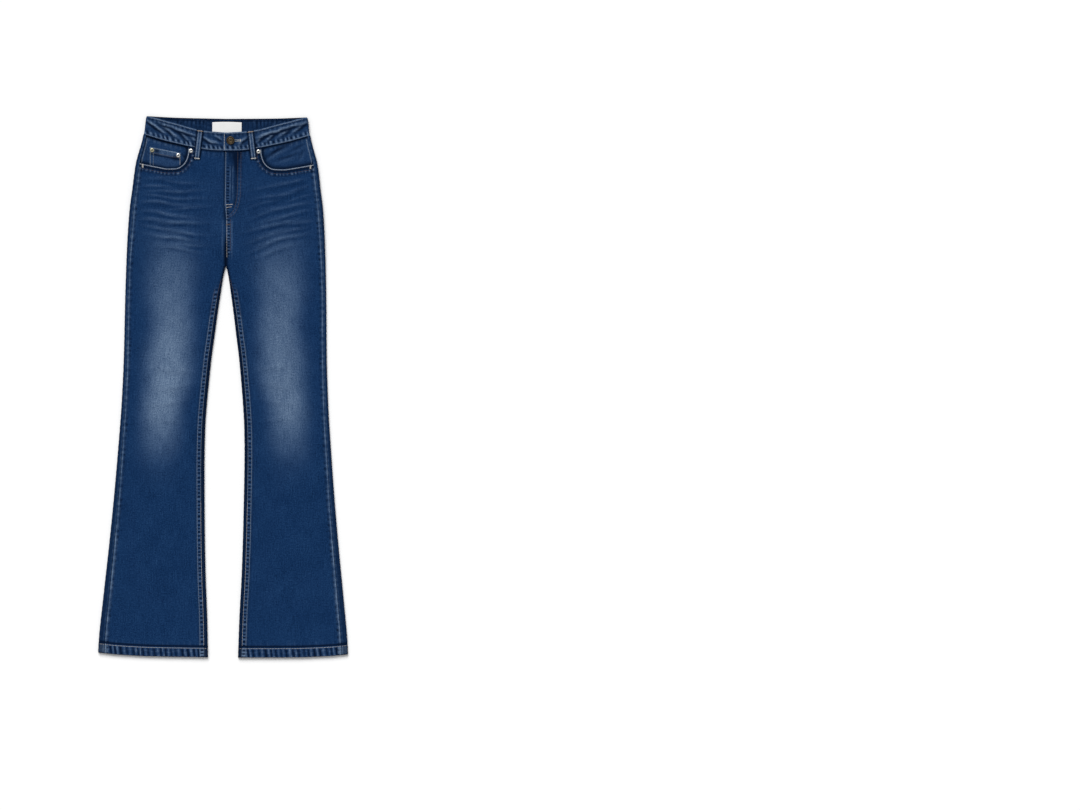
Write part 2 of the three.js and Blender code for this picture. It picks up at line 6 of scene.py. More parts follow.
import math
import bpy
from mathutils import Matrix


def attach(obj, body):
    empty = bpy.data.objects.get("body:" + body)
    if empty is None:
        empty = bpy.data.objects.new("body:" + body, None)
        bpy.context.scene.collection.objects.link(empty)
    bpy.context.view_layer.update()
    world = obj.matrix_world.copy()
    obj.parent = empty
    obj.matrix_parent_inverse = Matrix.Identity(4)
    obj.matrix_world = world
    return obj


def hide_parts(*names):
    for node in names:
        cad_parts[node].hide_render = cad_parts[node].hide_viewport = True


bl_info = {
    "name": "Flared jeans",
    "version": (1, 0, 0),
    "blender": (4, 5, 0),
    "location": "View3D > Sidebar > Jeans",
    "description": "Dresses a laid pair of flared jeans in denim, topstitching and metalware",
    "category": "Object",
}

import bmesh
import bpy
import numpy as np
from bpy.props import FloatProperty, FloatVectorProperty, PointerProperty
from mathutils import Matrix, Vector

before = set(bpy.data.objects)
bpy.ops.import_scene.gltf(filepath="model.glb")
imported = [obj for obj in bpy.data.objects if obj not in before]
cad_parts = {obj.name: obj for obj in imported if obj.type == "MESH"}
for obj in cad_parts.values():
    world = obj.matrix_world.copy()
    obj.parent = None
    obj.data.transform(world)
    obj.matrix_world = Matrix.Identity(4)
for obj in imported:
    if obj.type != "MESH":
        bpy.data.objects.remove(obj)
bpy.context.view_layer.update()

MM = 0.001
ROOT = "root"
SIDES = {"left": 1, "right": -1}

# Walls and gaps, as the frame has them
DENIM = 1.2
BAND_WALL = 2.0
LOOP_WALL = 1.6
PATCH_WALL = 1.2
GAP = 0.3
SEAM_GAP = 0.06
INSEAM_GAP = 0.4
SEAT_LIFT = PATCH_WALL + GAP
BAND_LIFT = LOOP_WALL + GAP
LEG_HEIGHT = 5.6
SEAT_HEIGHT = 7.8
BAND_HEIGHT = 8.2
FACING_TOP = SEAT_HEIGHT - DENIM - GAP
FLY_RISE = DENIM + GAP
OVERLAP_RISE = BAND_WALL + GAP

# Places up the garment
CROTCH_Y = 255
HEM_Y = -565
HEM_DEPTH = 20.5
YOKE_TOP_Y = 512

# The wearer's left lies over the right at the fly and the waistband
FLY_EDGE = -3.4
FLY_UNDERLAP = 8
BAND_EDGE = -7
BAND_UNDERLAP = 22


def table(columns, *rows):
    """A short table as one array for each named column."""
    return {name: np.array([row[i] for row in rows], float) for i, name in enumerate(columns.split())}


OUTER_FOLD = table(
    "y x", (-568, 262.5), (-541, 261.5), (-440, 252), (-339, 241.5), (-238, 232), (-138, 224), (-37, 217),
    (64, 213), (190, 211), (291, 208), (366, 203.7), (417, 197.5), (467, 191), (518, 177.5), (568, 168.5),
)
INNER_FOLD = table(
    "y x", (-568, 31.5), (-490, 33.6), (-390, 38), (-289, 40.5), (-150, 42), (-87, 41), (-37, 38), (14, 33.6),
    (64, 28.6), (114, 22), (140, 18.8), (190, 11.8), (240, 4), (CROTCH_Y, 0),
)
OUTSEAM_INSET = table("y inset", (-560, 14), (-270, 11), (0, 8), (240, 7), (350, 9), (440, 9), (527, 6.5))
INSEAM_RUN = table("y run", (-560, 8.6), (100, 7.4), (190, 6.6), (225, 3.6), (CROTCH_Y, 0))
FRONT_WAIST_SEAM = table(
    "x y", (0, 495.5), (20, 495.5), (40, 497), (72, 502.5), (105, 509.5), (138, 517.5), (160, 524), (176, 529)
)
FRONT_TOP_EDGE = table(
    "x y", (0, 534), (40, 537), (70, 542), (100, 550.5), (131, 558.5), (149, 563.5), (168, 567.5)
)
BACK_WAIST_SEAM = table("x y", (0, 526), (100, 527), (176, 529))
BACK_TOP_EDGE = table("x y", (0, 563), (100, 564.5), (168, 567.5))
YOKE_SEAM = table("x y", (0, 473), (60, 483), (120, 492.5), (185, 503))
HEM_LINE = table("share y", (0, -567.5), (0.5, -566.4), (0.83, -563), (1, -559))

# Front pocket scoop on the wearer's right. On the left it starts nearer the middle.
SCOOP = table(
    "x y", (80.5, 503), (81, 491), (85, 476), (93, 465), (106, 458.4), (123, 457.8), (146, 461.4),
    (168, 465.6), (184, 468.8),
)
SCOOP_SHIFT = {1: 8, -1: 0}
SCOOP_BAND = 11.5
FACING = {"inner": 68, "bottom": 445, "tuck": 1.2}
COIN = {"outer": 162, "inner": 96.5, "outer_top": 503.2, "inner_top": 490.8, "bottom": 447, "hem": 12}
POCKET = {
    "inner_top": (28, 449), "outer_top": (170.7, 456), "inner_foot": (48.5, 318), "point": (112.8, 287),
    "outer_foot": (170.7, 327), "hem": 14,
}

LOOP_WIDTH = 12
FRONT_LOOPS = {
    "belt_loop_front_left": {"top_x": 49.5, "bottom_x": 57, "bottom_y": 478},
    "belt_loop_front_right": {"top_x": -56, "bottom_x": -62.6, "bottom_y": 477},
}
BACK_LOOPS = {
    "belt_loop_back_left": {"top_x": 151, "bottom_x": 155, "top_y": 565, "bottom_y": 509},
    "belt_loop_back_middle": {"top_x": 0, "bottom_x": 0, "top_y": 562, "bottom_y": 507},
    "belt_loop_back_right": {"top_x": -151, "bottom_x": -155, "top_y": 565, "bottom_y": 509},
}
LABEL = {"half": 30.8, "bottom": 529.5, "top": 556.7, "arch": 1, "wall": 1.0}
BUTTON = {"x": 8, "y": 517.5, "radius": 8.75, "shank": 1.8, "height": 3.2, "hole_end": 28}
RIVETS = {
    "rivet_pocket_left": {"x": 66.6, "y": 494.8, "level": SEAT_HEIGHT, "metal": "nickel"},
    "rivet_pocket_right": {"x": -75.2, "y": 495.2, "level": SEAT_HEIGHT, "metal": "nickel"},
    "rivet_coin_inner": {"x": -101.5, "y": 485.6, "level": FACING_TOP + 0.5, "metal": "nickel"},
    "rivet_coin_outer": {"x": -156.5, "y": 496, "level": FACING_TOP + 0.5, "metal": "pale_brass"},
}
RIVET_RADIUS = 4.5

# Largest soft folds on the front, as the frame has them
FOLDS = table(
    "x y turn length width height",
    (62, 318, 24, 60, 11, 0.9), (78, 352, 16, 70, 12, 0.7), (-58, 312, 158, 58, 11, 0.9),
    (-84, 346, 170, 70, 12, 0.7), (118, 150, 86, 120, 24, 0.8), (-112, 120, 95, 130, 24, 0.8),
    (92, 12, 12, 50, 14, 0.7), (-96, -2, 166, 52, 14, 0.7), (150, -330, 82, 150, 28, 0.9),
    (-156, -350, 99, 150, 28, 0.9),
)

# Whiskers on the hips and creases at the knees: soft worn ridges, finer than the folds
WHISKERS = table(
    "x y turn length width height",
    (138, 434, 6, 34, 3.6, 0.3), (100, 425, 12, 40, 3.1, 0.3), (148, 417, 13, 32, 2.8, 0.3),
    (114, 405, 10, 48, 3.8, 0.42), (152, 397, 15, 30, 2.8, 0.26), (90, 390, 15, 36, 3.1, 0.3),
    (134, 380, 9, 46, 4.4, 0.46), (84, 366, 18, 30, 2.8, 0.3), (128, 361, 15, 46, 3.3, 0.36),
    (152, 348, 10, 34, 3.8, 0.34), (98, 342, 14, 46, 4.4, 0.46), (136, 331, 18, 36, 3.1, 0.3),
    (82, 317, 22, 34, 3.1, 0.3), (118, 312, 15, 44, 4.4, 0.42), (72, 293, 24, 28, 3.1, 0.26), (104, 288, 18, 40, 3.8, 0.26),
    (-138, 439, 181, 34, 3.3, 0.3), (-104, 431, 176, 40, 3.1, 0.3), (-148, 421, 177, 34, 3.3, 0.32),
    (-114, 411, 182, 46, 3.8, 0.42), (-152, 400, 174, 30, 2.8, 0.26), (-94, 396, 179, 40, 3.1, 0.32),
    (-132, 385, 177, 46, 4.4, 0.44), (-86, 376, 183, 36, 2.8, 0.3), (-124, 363, 173, 48, 3.6, 0.4),
    (-150, 352, 178, 34, 3.3, 0.3), (-96, 346, 180, 44, 4.4, 0.46), (-132, 333, 172, 40, 3.1, 0.3),
    (-84, 322, 176, 34, 3.3, 0.32), (-114, 313, 171, 42, 4.1, 0.4), (-76, 297, 178, 30, 3.1, 0.26),
    (-100, 290, 170, 36, 3.8, 0.26),
    (104, 44, 8, 40, 5, 0.12), (112, 6, 168, 34, 5, 0.1), (112, -30, 172, 40, 5, 0.12), (108, -66, 6, 34, 5, 0.1),
    (-106, 36, 173, 40, 5, 0.12), (-98, 2, 12, 34, 5, 0.1), (-116, -32, 9, 40, 5, 0.12), (-112, -70, 175, 34, 5, 0.1),
)

# Creases across the front of the waistband
BAND_CREASES = table(
    "x y turn length width height",
    (-158, 553, -38, 16, 2.4, 1), (-142, 541, -34, 20, 2.6, 1), (-131, 551, -22, 18, 2.2, 0.8),
    (-118, 535, -36, 20, 2.6, 1), (-104, 541, -24, 22, 2.4, 0.9), (-90, 527, -40, 16, 2.4, 0.9),
    (-78, 532, -20, 18, 2.4, 0.8), (-66, 518, -30, 14, 2.2, 0.7), (-44, 521, -28, 14, 2.4, 0.8),
    (-28, 514, -12, 14, 2.6, 0.7), (-16, 524, -34, 10, 2.2, 0.7), (26, 507, 58, 12, 2.4, 0.8),
    (36, 520, 34, 12, 2.4, 0.9), (46, 511, 66, 10, 2.2, 0.6), (70, 522, 38, 14, 2.4, 0.9),
    (80, 531, 22, 20, 2.4, 1), (94, 528, 40, 18, 2.6, 1), (108, 540, 20, 22, 2.4, 0.9),
    (120, 535, 36, 18, 2.6, 0.9), (136, 549, 22, 20, 2.4, 0.9), (150, 545, 38, 16, 2.4, 1),
    (162, 556, 26, 14, 2.2, 0.7),
)

# Creases in the pocket facings, on the wearer's left and then right
FACING_CREASES = table(
    "x y turn length width height",
    (96, 484, 34, 20, 3, 0.35), (112, 494, 24, 22, 3.5, 0.4), (128, 478, 18, 24, 3, 0.35), (150, 498, 28, 18, 3, 0.3),
    (158, 484, 60, 14, 3, 0.25), (-88, 478, 140, 14, 3, 0.3), (-116, 470, 168, 24, 2.6, 0.35),
    (-140, 512, 160, 22, 3, 0.3), (-168, 492, 96, 20, 2.6, 0.3),
)

# The faded strip down each thigh: how far out it is, its half width and its strength
THIGH_FADE = table(
    "y middle half strength",
    (-240, 138, 34, 0), (-175, 138, 36, 0.08), (-133, 136, 36, 0.30), (-91, 132, 37, 0.59), (-49, 128, 38, 0.90),
    (-7, 125, 39, 0.95), (77, 119, 40, 0.84), (119, 116, 41, 0.75), (161, 113, 42, 0.65), (203, 112, 43, 0.56),
    (245, 112, 44, 0.45), (290, 113, 46, 0.28), (340, 116, 50, 0.10), (400, 120, 52, 0), (480, 120, 52, 0),
)


def curve(rows, at, value):
    """A smooth curve through a table that never swings past its rows."""
    places, values = rows[at], rows[value]
    steps = np.diff(places)
    slopes = np.diff(values) / steps
    before, after = slopes[:-1], slopes[1:]
    same_way = before * after > 0
    middle = np.where(same_way, 2 * before * after / np.where(same_way, before + after, 1), 0)
    tangents = np.concatenate([slopes[:1], middle, slopes[-1:]])

    def at_place(wanted):
        place = np.clip(wanted, places[0], places[-1])
        i = np.clip(np.searchsorted(places, place, side="left"), 1, len(slopes)) - 1
        t = (place - places[i]) / steps[i]
        rest = 1 - t
        return (
            values[i] * rest**2 * (1 + 2 * t) + values[i + 1] * t**2 * (1 + 2 * rest)
            + steps[i] * (tangents[i] * t * rest**2 - tangents[i + 1] * t**2 * rest)
        )

    return at_place


outer_fold = curve(OUTER_FOLD, "y", "x")
inner_fold = curve(INNER_FOLD, "y", "x")
outseam_inset = curve(OUTSEAM_INSET, "y", "inset")
inseam_run = curve(INSEAM_RUN, "y", "run")
front_waist_seam = curve(FRONT_WAIST_SEAM, "x", "y")
front_top_edge = curve(FRONT_TOP_EDGE, "x", "y")
back_waist_seam = curve(BACK_WAIST_SEAM, "x", "y")
back_top_edge = curve(BACK_TOP_EDGE, "x", "y")
yoke_seam = curve(YOKE_SEAM, "x", "y")
hem_line = curve(HEM_LINE, "share", "y")
fade_middle = curve(THIGH_FADE, "y", "middle")
fade_half = curve(THIGH_FADE, "y", "half")
fade_strength = curve(THIGH_FADE, "y", "strength")


def blend(low, high, value):
    share = np.clip((np.asarray(value, float) - low) / (high - low), 0, 1)
    return share * share * (3 - 2 * share)


def mix(a, b, share):
    return a + (b - a) * share


def bell(value, width):
    return np.exp(-((value / width) ** 2))


def low_side(y):
    return SEAT_LIFT * blend(215, 283, y) + (BAND_LIFT - SEAT_LIFT) * blend(470, 502, y)


def high_side(y):
    return mix(LEG_HEIGHT, SEAT_HEIGHT, blend(205, 310, y))


def fly_rise(x, y):
    return FLY_RISE * blend(322, 348, y) * (1 - blend(12, 45, x))


def band_rise(x):
    return OVERLAP_RISE * (1 - blend(28, 66, x))


def seam_roundness(y):
    return 1 - blend(CROTCH_Y, 322, y)


def ridges(rows, x, y):
    """Height of a table of soft straight ridges at each place."""
    height = np.zeros_like(x)
    for i in range(len(rows["x"])):
        turn = math.radians(rows["turn"][i])
        dx, dy = x - rows["x"][i], y - rows["y"][i]
        along = (dx * math.cos(turn) + dy * math.sin(turn)) / rows["length"][i]
        across = (dy * math.cos(turn) - dx * math.sin(turn)) / rows["width"][i]
        height += rows["height"][i] * np.exp(-(along**2) - across**2)
    return height


def relief_mask(x, y):
    """No fold reaches the seams, the pocket or the hem."""
    inside = np.abs(x) - np.where(y < CROTCH_Y, inner_fold(y), 0)
    from_middle = mix(blend(8, 30, inside), 1, blend(320, 350, y))
    from_side = blend(14, 34, outer_fold(y) - np.abs(x))
    from_ends = (1 - blend(430, 455, y)) * blend(HEM_Y + HEM_DEPTH, HEM_Y + 3 * HEM_DEPTH, y)
    return from_middle * from_side * from_ends


def wander(x, y, size, seed=0.0):
    """A smooth unevenness from -1 to 1 with lumps of about a size."""
    total = np.zeros_like(x)
    for i, turn in enumerate((0.3, 1.4, 2.5, 3.7)):
        way = x * math.cos(turn + seed) + y * math.sin(turn + seed)
        total += np.sin(way * (2.6 + 0.7 * i) / size + 1.9 * i + 5.3 * seed)
    return total / 4


def ripple(run, spacing, seed=0.0):
    """An uneven row of ridges along a seam, from -1 to 1."""
    phase = 2 * math.pi * np.asarray(run, float) / spacing
    strength = 0.84 + 0.16 * np.sin(0.23 * phase + 2.1 * seed)
    return np.sin(phase + 0.9 * np.sin(0.19 * phase + seed) + 0.4 * np.sin(0.47 * phase - seed)) * strength


def ticks(run, spacing, seed=0.0, power=0.9):
    """Short marks along a seam where its puckers stand up, from 0 to 1. A higher power makes them narrower."""
    return np.maximum(ripple(run, spacing, seed), 0) ** power


def dips(run, spacing, seed=0.0, power=0.9):
    """The places between the ticks, from 0 to 1."""
    return np.maximum(-ripple(run, spacing, seed), 0) ** power


def patchy(x, y, size, seed=0.0):
    """Unevenness between 0 and 1."""
    return 0.5 + 0.5 * wander(x, y, size, seed)


def line(points):
    return np.array(points, float)


def spaced(points, step):
    """The places along a line a step apart, with the line's direction at each."""
    legs = np.diff(points, axis=0)
    runs = np.concatenate([[0], np.cumsum(np.hypot(legs[:, 0], legs[:, 1]))])
    wanted = np.linspace(0, runs[-1], max(int(round(runs[-1] / step)), 1) + 1)
    places = np.stack([np.interp(wanted, runs, points[:, k]) for k in (0, 1)], axis=1)
    ways = np.gradient(places, axis=0)
    return places, ways / np.hypot(ways[:, 0], ways[:, 1])[:, None], wanted


def beside(points, offset, step=2.0):
    """The line that runs beside another, to its left where the offset is above 0."""
    places, ways, _ = spaced(points, step)
    return places + offset * np.stack([-ways[:, 1], ways[:, 0]], axis=1)


def nearest(points, x, y):
    """How far each place is from a line, and the run along the line where that is."""
    starts, ends = points[:-1], points[1:]
    legs = ends - starts
    lengths = np.hypot(legs[:, 0], legs[:, 1])
    runs = np.concatenate([[0], np.cumsum(lengths)[:-1]])
    best = np.full(x.shape, np.inf)
    run = np.zeros(x.shape)
    for start, leg, length, before in zip(starts, legs, lengths, runs):
        share = np.clip(((x - start[0]) * leg[0] + (y - start[1]) * leg[1]) / max(length**2, 1e-9), 0, 1)
        away = np.hypot(x - start[0] - share * leg[0], y - start[1] - share * leg[1])
        closer = away < best
        best = np.where(closer, away, best)
        run = np.where(closer, before + share * length, run)
    return best, run


def scoop_line(side):
    """The scoop's edge from the waistband to the side seam."""
    far = SCOOP["x"] - SCOOP_SHIFT[side] * (1 - blend(80, 175, SCOOP["x"]))
    chords = np.concatenate([[0], np.cumsum(np.hypot(np.diff(far), np.diff(SCOOP["y"])))])
    rows = {"run": chords, "x": far, "y": SCOOP["y"]}
    runs = np.linspace(0, chords[-1], 61)
    return np.stack([side * curve(rows, "run", "x")(runs), curve(rows, "run", "y")(runs)], axis=1)


SCOOPS = {side: scoop_line(side) for side in SIDES.values()}


def inseam_x(y):
    """How far out the inside leg seam shows on the front."""
    radius = (high_side(y) - low_side(y)) / 2
    run = inseam_run(y)
    quarter = math.pi * radius / 2
    turned = radius * (1 - np.cos(np.minimum(run / radius, math.pi / 2)))
    return inner_fold(y) + turned + np.maximum(run - quarter, 0)


def outseam_x(y):
    return outer_fold(y) - outseam_inset(y)


def hem_y(out):
    inner, outer = inner_fold(HEM_Y), outer_fold(HEM_Y)
    return hem_line(np.clip((out - inner) / (outer - inner), 0, 1))


def column(x_of_y, low, high, step=8):
    """A line that follows a curve of x by y."""
    ys = np.linspace(low, high, int((high - low) / step) + 1)
    return np.stack([x_of_y(ys), ys], axis=1)


def course(y_of_x, low, high, step=4):
    """A line that follows a curve of y by x."""
    xs = np.linspace(low, high, int(abs(high - low) / step) + 2)
    return np.stack([xs, y_of_x(np.abs(xs))], axis=1)


def j_line(inset):
    """The fly's J stitch, which comes down beside the fly and turns in to it at its foot."""
    straight = [(30 - inset, 494), (30 - inset, 440), (29.5 - inset, 408)]
    turn_in = [(27.5 - inset, 392), (23 - 0.9 * inset, 375), (14 - 0.6 * inset, 361 + 0.4 * inset)]
    return smooth_line([*straight, *turn_in, (2, 355.5 + 0.6 * inset)])


def smooth_line(points, count=40):
    points = line(points)
    runs = np.concatenate([[0], np.cumsum(np.hypot(*np.diff(points, axis=0).T))])
    wanted = np.linspace(0, runs[-1], count)
    rows = {"run": runs, "x": points[:, 0], "y": points[:, 1]}
    return np.stack([curve(rows, "run", k)(wanted) for k in ("x", "y")], axis=1)


def front_stitch_lines(side):
    """Topstitching on a front panel, as lines with their thread."""
    scoop = SCOOPS[side]
    rows = [
        (beside(scoop, -1.4 * side)[2:-1], "cream"),
        (beside(scoop, -9.6 * side)[6:-3], "brown"),
        (column(lambda y: side * (inseam_x(y) + 1.2), HEM_Y + 22, -240), "cream"),
        (column(lambda y: side * (inseam_x(y) + 1.2), -240, 185), "pale"),
        (column(lambda y: side * (inseam_x(y) + 1.2), 185, 226), "brown"),
        (column(lambda y: side * (inseam_x(y) + 8.8), HEM_Y + 22, 150), "pale"),
        (column(lambda y: side * (inseam_x(y) + 8.8), 150, 205), "brown"),
        (hem_row(side, 18.6), "cream"),
    ]
    if side > 0:
        rows += [
            (j_line(0), "brown"), (j_line(6.5), "brown"),
            (line([(-1.6, 494), (-1.6, 400), (0, 372), (1.4, 352)]), "pale"),
            (line([(1.6, 350), (1.6, 300), (2.2, 272)]), "cream"),
            (line([(9.2, 352), (9.2, 312), (9.4, 286)]), "brown"),
        ]
    return rows


def hem_row(side, up):
    inner, outer = inner_fold(HEM_Y) + 7, outer_fold(HEM_Y) - 15
    xs = np.linspace(inner, outer, 40)
    return np.stack([side * xs, hem_y(xs) + up], axis=1)


FRONT_LINES = {side: front_stitch_lines(side) for side in SIDES.values()}


def grooves(lines, x, y, depth=0.24, width=1.1):
    """The dip that each row of stitches pulls into the cloth."""
    dip = np.zeros_like(x)
    for points, _ in lines:
        low, high = points.min(axis=0) - 5, points.max(axis=0) + 5
        near = (x > low[0]) & (x < high[0]) & (y > low[1]) & (y < high[1])
        if near.any():
            away, _ = nearest(points, x[near], y[near])
            dip[near] = np.minimum(dip[near], -depth * bell(away, width))
    return dip


def hem_shape(x, up, seed, thick=0.0):
    """Height, wear and painted shade of a hem, whose roping makes slanting pale marks below its row of stitches, with
    painted shade between them.
    Where it crosses a seam it is thick and worn all over."""
    pucker = {"run": x + 0.14 * up, "spacing": 11.6, "seed": seed}
    zone = blend(-1, 2.5, up) * (1 - blend(16.6, 18.2, up))
    in_hem = 1 - blend(HEM_DEPTH - 0.8, HEM_DEPTH + 0.8, up)
    broken = 0.45 + 0.8 * patchy(x, 1.4 * up, 7, seed)
    height = 0.45 * in_hem + 0.36 * ripple(**pucker) * blend(-1, 4, up) * (1 - blend(19, 34, up))
    worn = 0.85 * ticks(**pucker, power=2.4) * zone * broken + 0.06 * zone * patchy(x, up, 4, seed + 2) ** 2
    worn += 0.3 * bell(up - 1.2, 1.2) * broken + 0.2 * bell(up - 11 - 2 * ripple(x, 34, seed), 1.3) * broken
    worn += 0.35 * bell(up - 18.6, 1.2) + 0.14 * ticks(**pucker, power=2) * bell(up - 27, 6)
    # painted shade between the roping puckers, in a line above the hem and along its lower edge
    deep = 1.1 * dips(**pucker, power=1.1) * zone * (1.3 - 0.5 * broken) + 0.25 * zone * patchy(x, up, 5, seed + 4)
    deep = mix(deep, 0.12 * zone, thick) + 1.0 * bell(up - 22.8, 2.3) + 0.55 * bell(up, 1.2)
    worn = mix(worn, (0.42 + 0.3 * patchy(x, up, 3, seed + 1)) * zone, thick)
    return height, worn, deep


def loop_shade(x, y):
    """The painted shadow that the front belt loops cast on the cloth beside them, from 0 to 1."""
    shade = np.zeros_like(x)
    for spec in FRONT_LOOPS.values():
        top_y = front_top_edge(abs(spec["top_x"]))
        middle = mix(spec["top_x"], spec["bottom_x"], np.clip((y - top_y) / (spec["bottom_y"] - top_y), 0, 1))
        beyond = np.hypot(np.maximum(np.abs(x - middle) - LOOP_WIDTH / 2, 0), np.maximum(spec["bottom_y"] - y, 0))
        shade = np.maximum(shade, bell(beyond, 1.9))
    return shade


def front_shape(x, y, side):
    """Height, wear and painted shade that the seams and folds add to a front panel."""
    out = side * x
    mask = relief_mask(x, y)
    bent_y = y + 3.5 * wander(x, y, 52, 2.2)
    whiskers = ridges(WHISKERS, x, bent_y) * mask * (1.3 if side < 0 else 1)
    height = ridges(FOLDS, x, y) * mask + whiskers + 0.16 * wander(x, y, 46, side) * mask
    if side > 0:
        height = height + fly_rise(x, y)
    valleys = ridges(WHISKERS, x - 1, bent_y + 6.5) * mask
    hip = blend(275, 310, y) * (1 - blend(430, 452, y))
    fade = thigh_fade(x, y) + 0.03 * hip + (0.44 * whiskers - 0.3 * valleys) * (0.5 + patchy(x, y, 15, 0.4))
    fade = np.maximum(fade, 0)
    worn = np.zeros_like(x)
    # painted shade in the whisker valleys and painted shadow beside the front belt loops
    deep = 0.46 * valleys + 0.9 * loop_shade(x, y)

    seam_ends = 1 - blend(6, 8, np.minimum(outseam_x(y) - out, out - inseam_x(y) - 3))
    hem_height, hem_worn, hem_painted_shade = hem_shape(x, y - hem_y(out), side, seam_ends)
    height += hem_height
    worn += hem_worn
    deep += hem_painted_shade

    below = 1 - blend(185, 228, y)
    inner = out - inseam_x(y)
    felled = (1 - blend(9.8, 11, inner)) * below
    pucker = {"run": y, "spacing": 8.2, "seed": 0.4 * side}
    height += 0.32 * felled + 0.2 * ripple(**pucker) * bell(inner - 5, 5) * below
    worn += below * (0.6 * ticks(**pucker) * bell(inner - 5, 3.0) + 0.12 * bell(inner - 1.2, 1.3))
    worn += below * 0.2 * bell(inner - 9.6, 1.5)
    # painted shade between the inseam's puckers, along its edge, beside the felled seam and round the inner fold
    deep += below * (1.4 * dips(**pucker, power=0.8) * bell(inner - 5, 3.1) + 0.7 * bell(inner + 0.9, 1.8))
    deep += below * 0.3 * bell(inner - 11.8, 1.5)
    deep += mix(0.8, 1.3, blend(40, 200, y)) * bell(out - inner_fold(y), 4.2) * (y <= CROTCH_Y)
    deep += 0.5 * dips(**pucker, power=1.5) * bell(inner - 5, 2.6) * blend(150, 200, y) * (1 - blend(215, 235, y))

    outer = outseam_x(y) - out
    pucker = {"run": y, "spacing": 13, "seed": 0.9 * side}
    wave = ripple(**pucker)
    height += 0.3 * bell(outer, 3.4) + 0.2 * wave * bell(outer - 2, 7)
    uneven = patchy(0 * x, y, 40, 0.3 * side)
    worn += 0.55 * bell(outer - 0.9, 1.4) * (0.35 + 0.3 * wave + uneven)
    worn += 0.3 * ticks(**pucker, power=2) * bell(outer - 3, 2.6) * patchy(x, y, 12, 0.6)
    worn += 0.62 * bell(outer - 2.5, 3.2) * patchy(x, y, 14, 2.6) * mix(1, 0.35, blend(-420, -150, y))
    # painted shade between the outseam's puckers
    deep += 1.0 * dips(**pucker, power=1.8) * bell(outer - 5.5, 2.2) * (0.25 + uneven) + 0.2 * bell(outer - 4.5, 2.6)

    scoop = SCOOPS[side]
    near = (y > 430) & (out > 55)
    away, run = nearest(scoop, x[near], y[near])
    pucker = {"run": run, "spacing": 7.6, "seed": side}
    wave = ripple(**pucker)
    height[near] += 0.55 * (1 - blend(SCOOP_BAND - 0.8, SCOOP_BAND + 0.8, away)) + 0.22 * wave * bell(away - 7, 4)
    height[near] -= 0.7 * bell(away, 0.8) * (1 - blend(466, 478, y[near]))
    worn[near] += 1.3 * bell(away - 0.6, 1.4) + 1.0 * ticks(**pucker, power=1.4) * bell(away - 11.6, 2.0)
    # painted shade under the scoop's edge, between its puckers and below its band
    deep[near] += 1.1 * bell(away - 4.6, 2.8) + 0.8 * dips(**pucker) * bell(away - 9.3, 2.8)
    deep[near] += 0.5 * bell(away - SCOOP_BAND - 2.4, 1.8)

    seam = front_waist_seam(out) - y
    pucker = {"run": x, "spacing": 10, "seed": 1.3}
    height += -0.3 * bell(seam, 1.6) + 0.2 * ripple(**pucker) * bell(seam - 6, 9)
    # painted shade along the waist seam and between its puckers
    deep += 0.95 * bell(seam, 3.0) + 0.3 * dips(**pucker) * bell(seam - 7, 6)
    worn += 0.16 * ticks(**pucker) * bell(seam - 7, 7)

    high = blend(340, 362, y)
    if side > 0:
        edge = x - front_edge(y, side)
        pucker = {"run": y, "spacing": 6.4, "seed": 0.2}
        wave = ripple(**pucker)
        low = (1 - high) * blend(262, 285, y)
        height += 0.3 * (high * bell(edge - 2, 3.5) + low * (1 - blend(10, 11.2, x)))
        height += 0.16 * wave * (high * bell(edge - 8, 4) + low * bell(x - 5, 5)) - 0.5 * high * bell(edge, 0.7)
        run_down = blend(388, 402, y) * (1 - blend(458, 474, y))
        rubbed = run_down * (0.35 + 0.7 * patchy(0 * x, y, 16, 0.4))
        worn += high * 0.5 * bell(edge - 0.6, 1.2) + rubbed * (0.62 * bell(x - 7.8, 1.1) + 0.52 * bell(x - 13.2, 1.1))
        worn += low * (0.34 * bell(x - 1, 1.6) + 0.6 * ticks(**pucker) * bell(x - 5.5, 2.6) + 0.3 * bell(x - 12, 1.6))
        dotted = high * bell(x - 3, 2.6) * (1 - blend(456, 474, y))
        worn += 0.3 * dotted * ticks(**pucker)
        # painted shade between the fly's puckers, a painted shadow under the waistband beside the fly, and painted
        # shade beside the J stitch
        deep += 1.6 * dotted * dips(**pucker, power=0.8) + 0.22 * dotted
        deep += 1.2 * low * dips(**pucker) * bell(x - 5.5, 2.8) + 0.5 * run_down * bell(x - 10.5, 1.3)
        shadow = mix(0.42, 1.0, blend(425, 486, y)) * blend(368, 392, y) * (0.7 + 0.5 * patchy(x, y, 14, 1.1))
        deep += shadow * bell(x - 22 + 0.03 * (495 - y), mix(5.5, 9, blend(430, 490, y)))
        deep += 0.5 * bell(x - 8, 9) * blend(452, 490, y)
        away, run = nearest(j_line(3.2), x, y)
        wave = ripple(run, 8, 0.7)
        height += 0.16 * bell(away, 3) + 0.14 * wave * bell(away, 5)
        worn += 0.20 * bell(away, 3.2) * (0.4 + 0.7 * wave)
        deep += 0.3 * bell(away - 6, 2) * (0.7 - 0.5 * wave) + 0.4 * bell(y - 378, 2.2) * bell(x - 5, 8)
    else:
        # painted shade under the overlapping fly and along the middle below it
        deep += 0.75 * bell(np.maximum(-x - 3.4, 0), 2.6) * high + 0.5 * bell(x, 2.4) * (1 - high) * blend(256, 280, y)
        worn += 0.2 * bell(x + 7.5, 1.6) * (1 - high) * blend(262, 285, y)
    # painted shade in the valley above the crotch
    deep += 1.2 * bell(x, 4.4) * blend(CROTCH_Y - 10, CROTCH_Y + 4, y) * (1 - blend(282, 330, y))
    height += grooves(FRONT_LINES[side], x, y)
    return height, fade, worn, deep


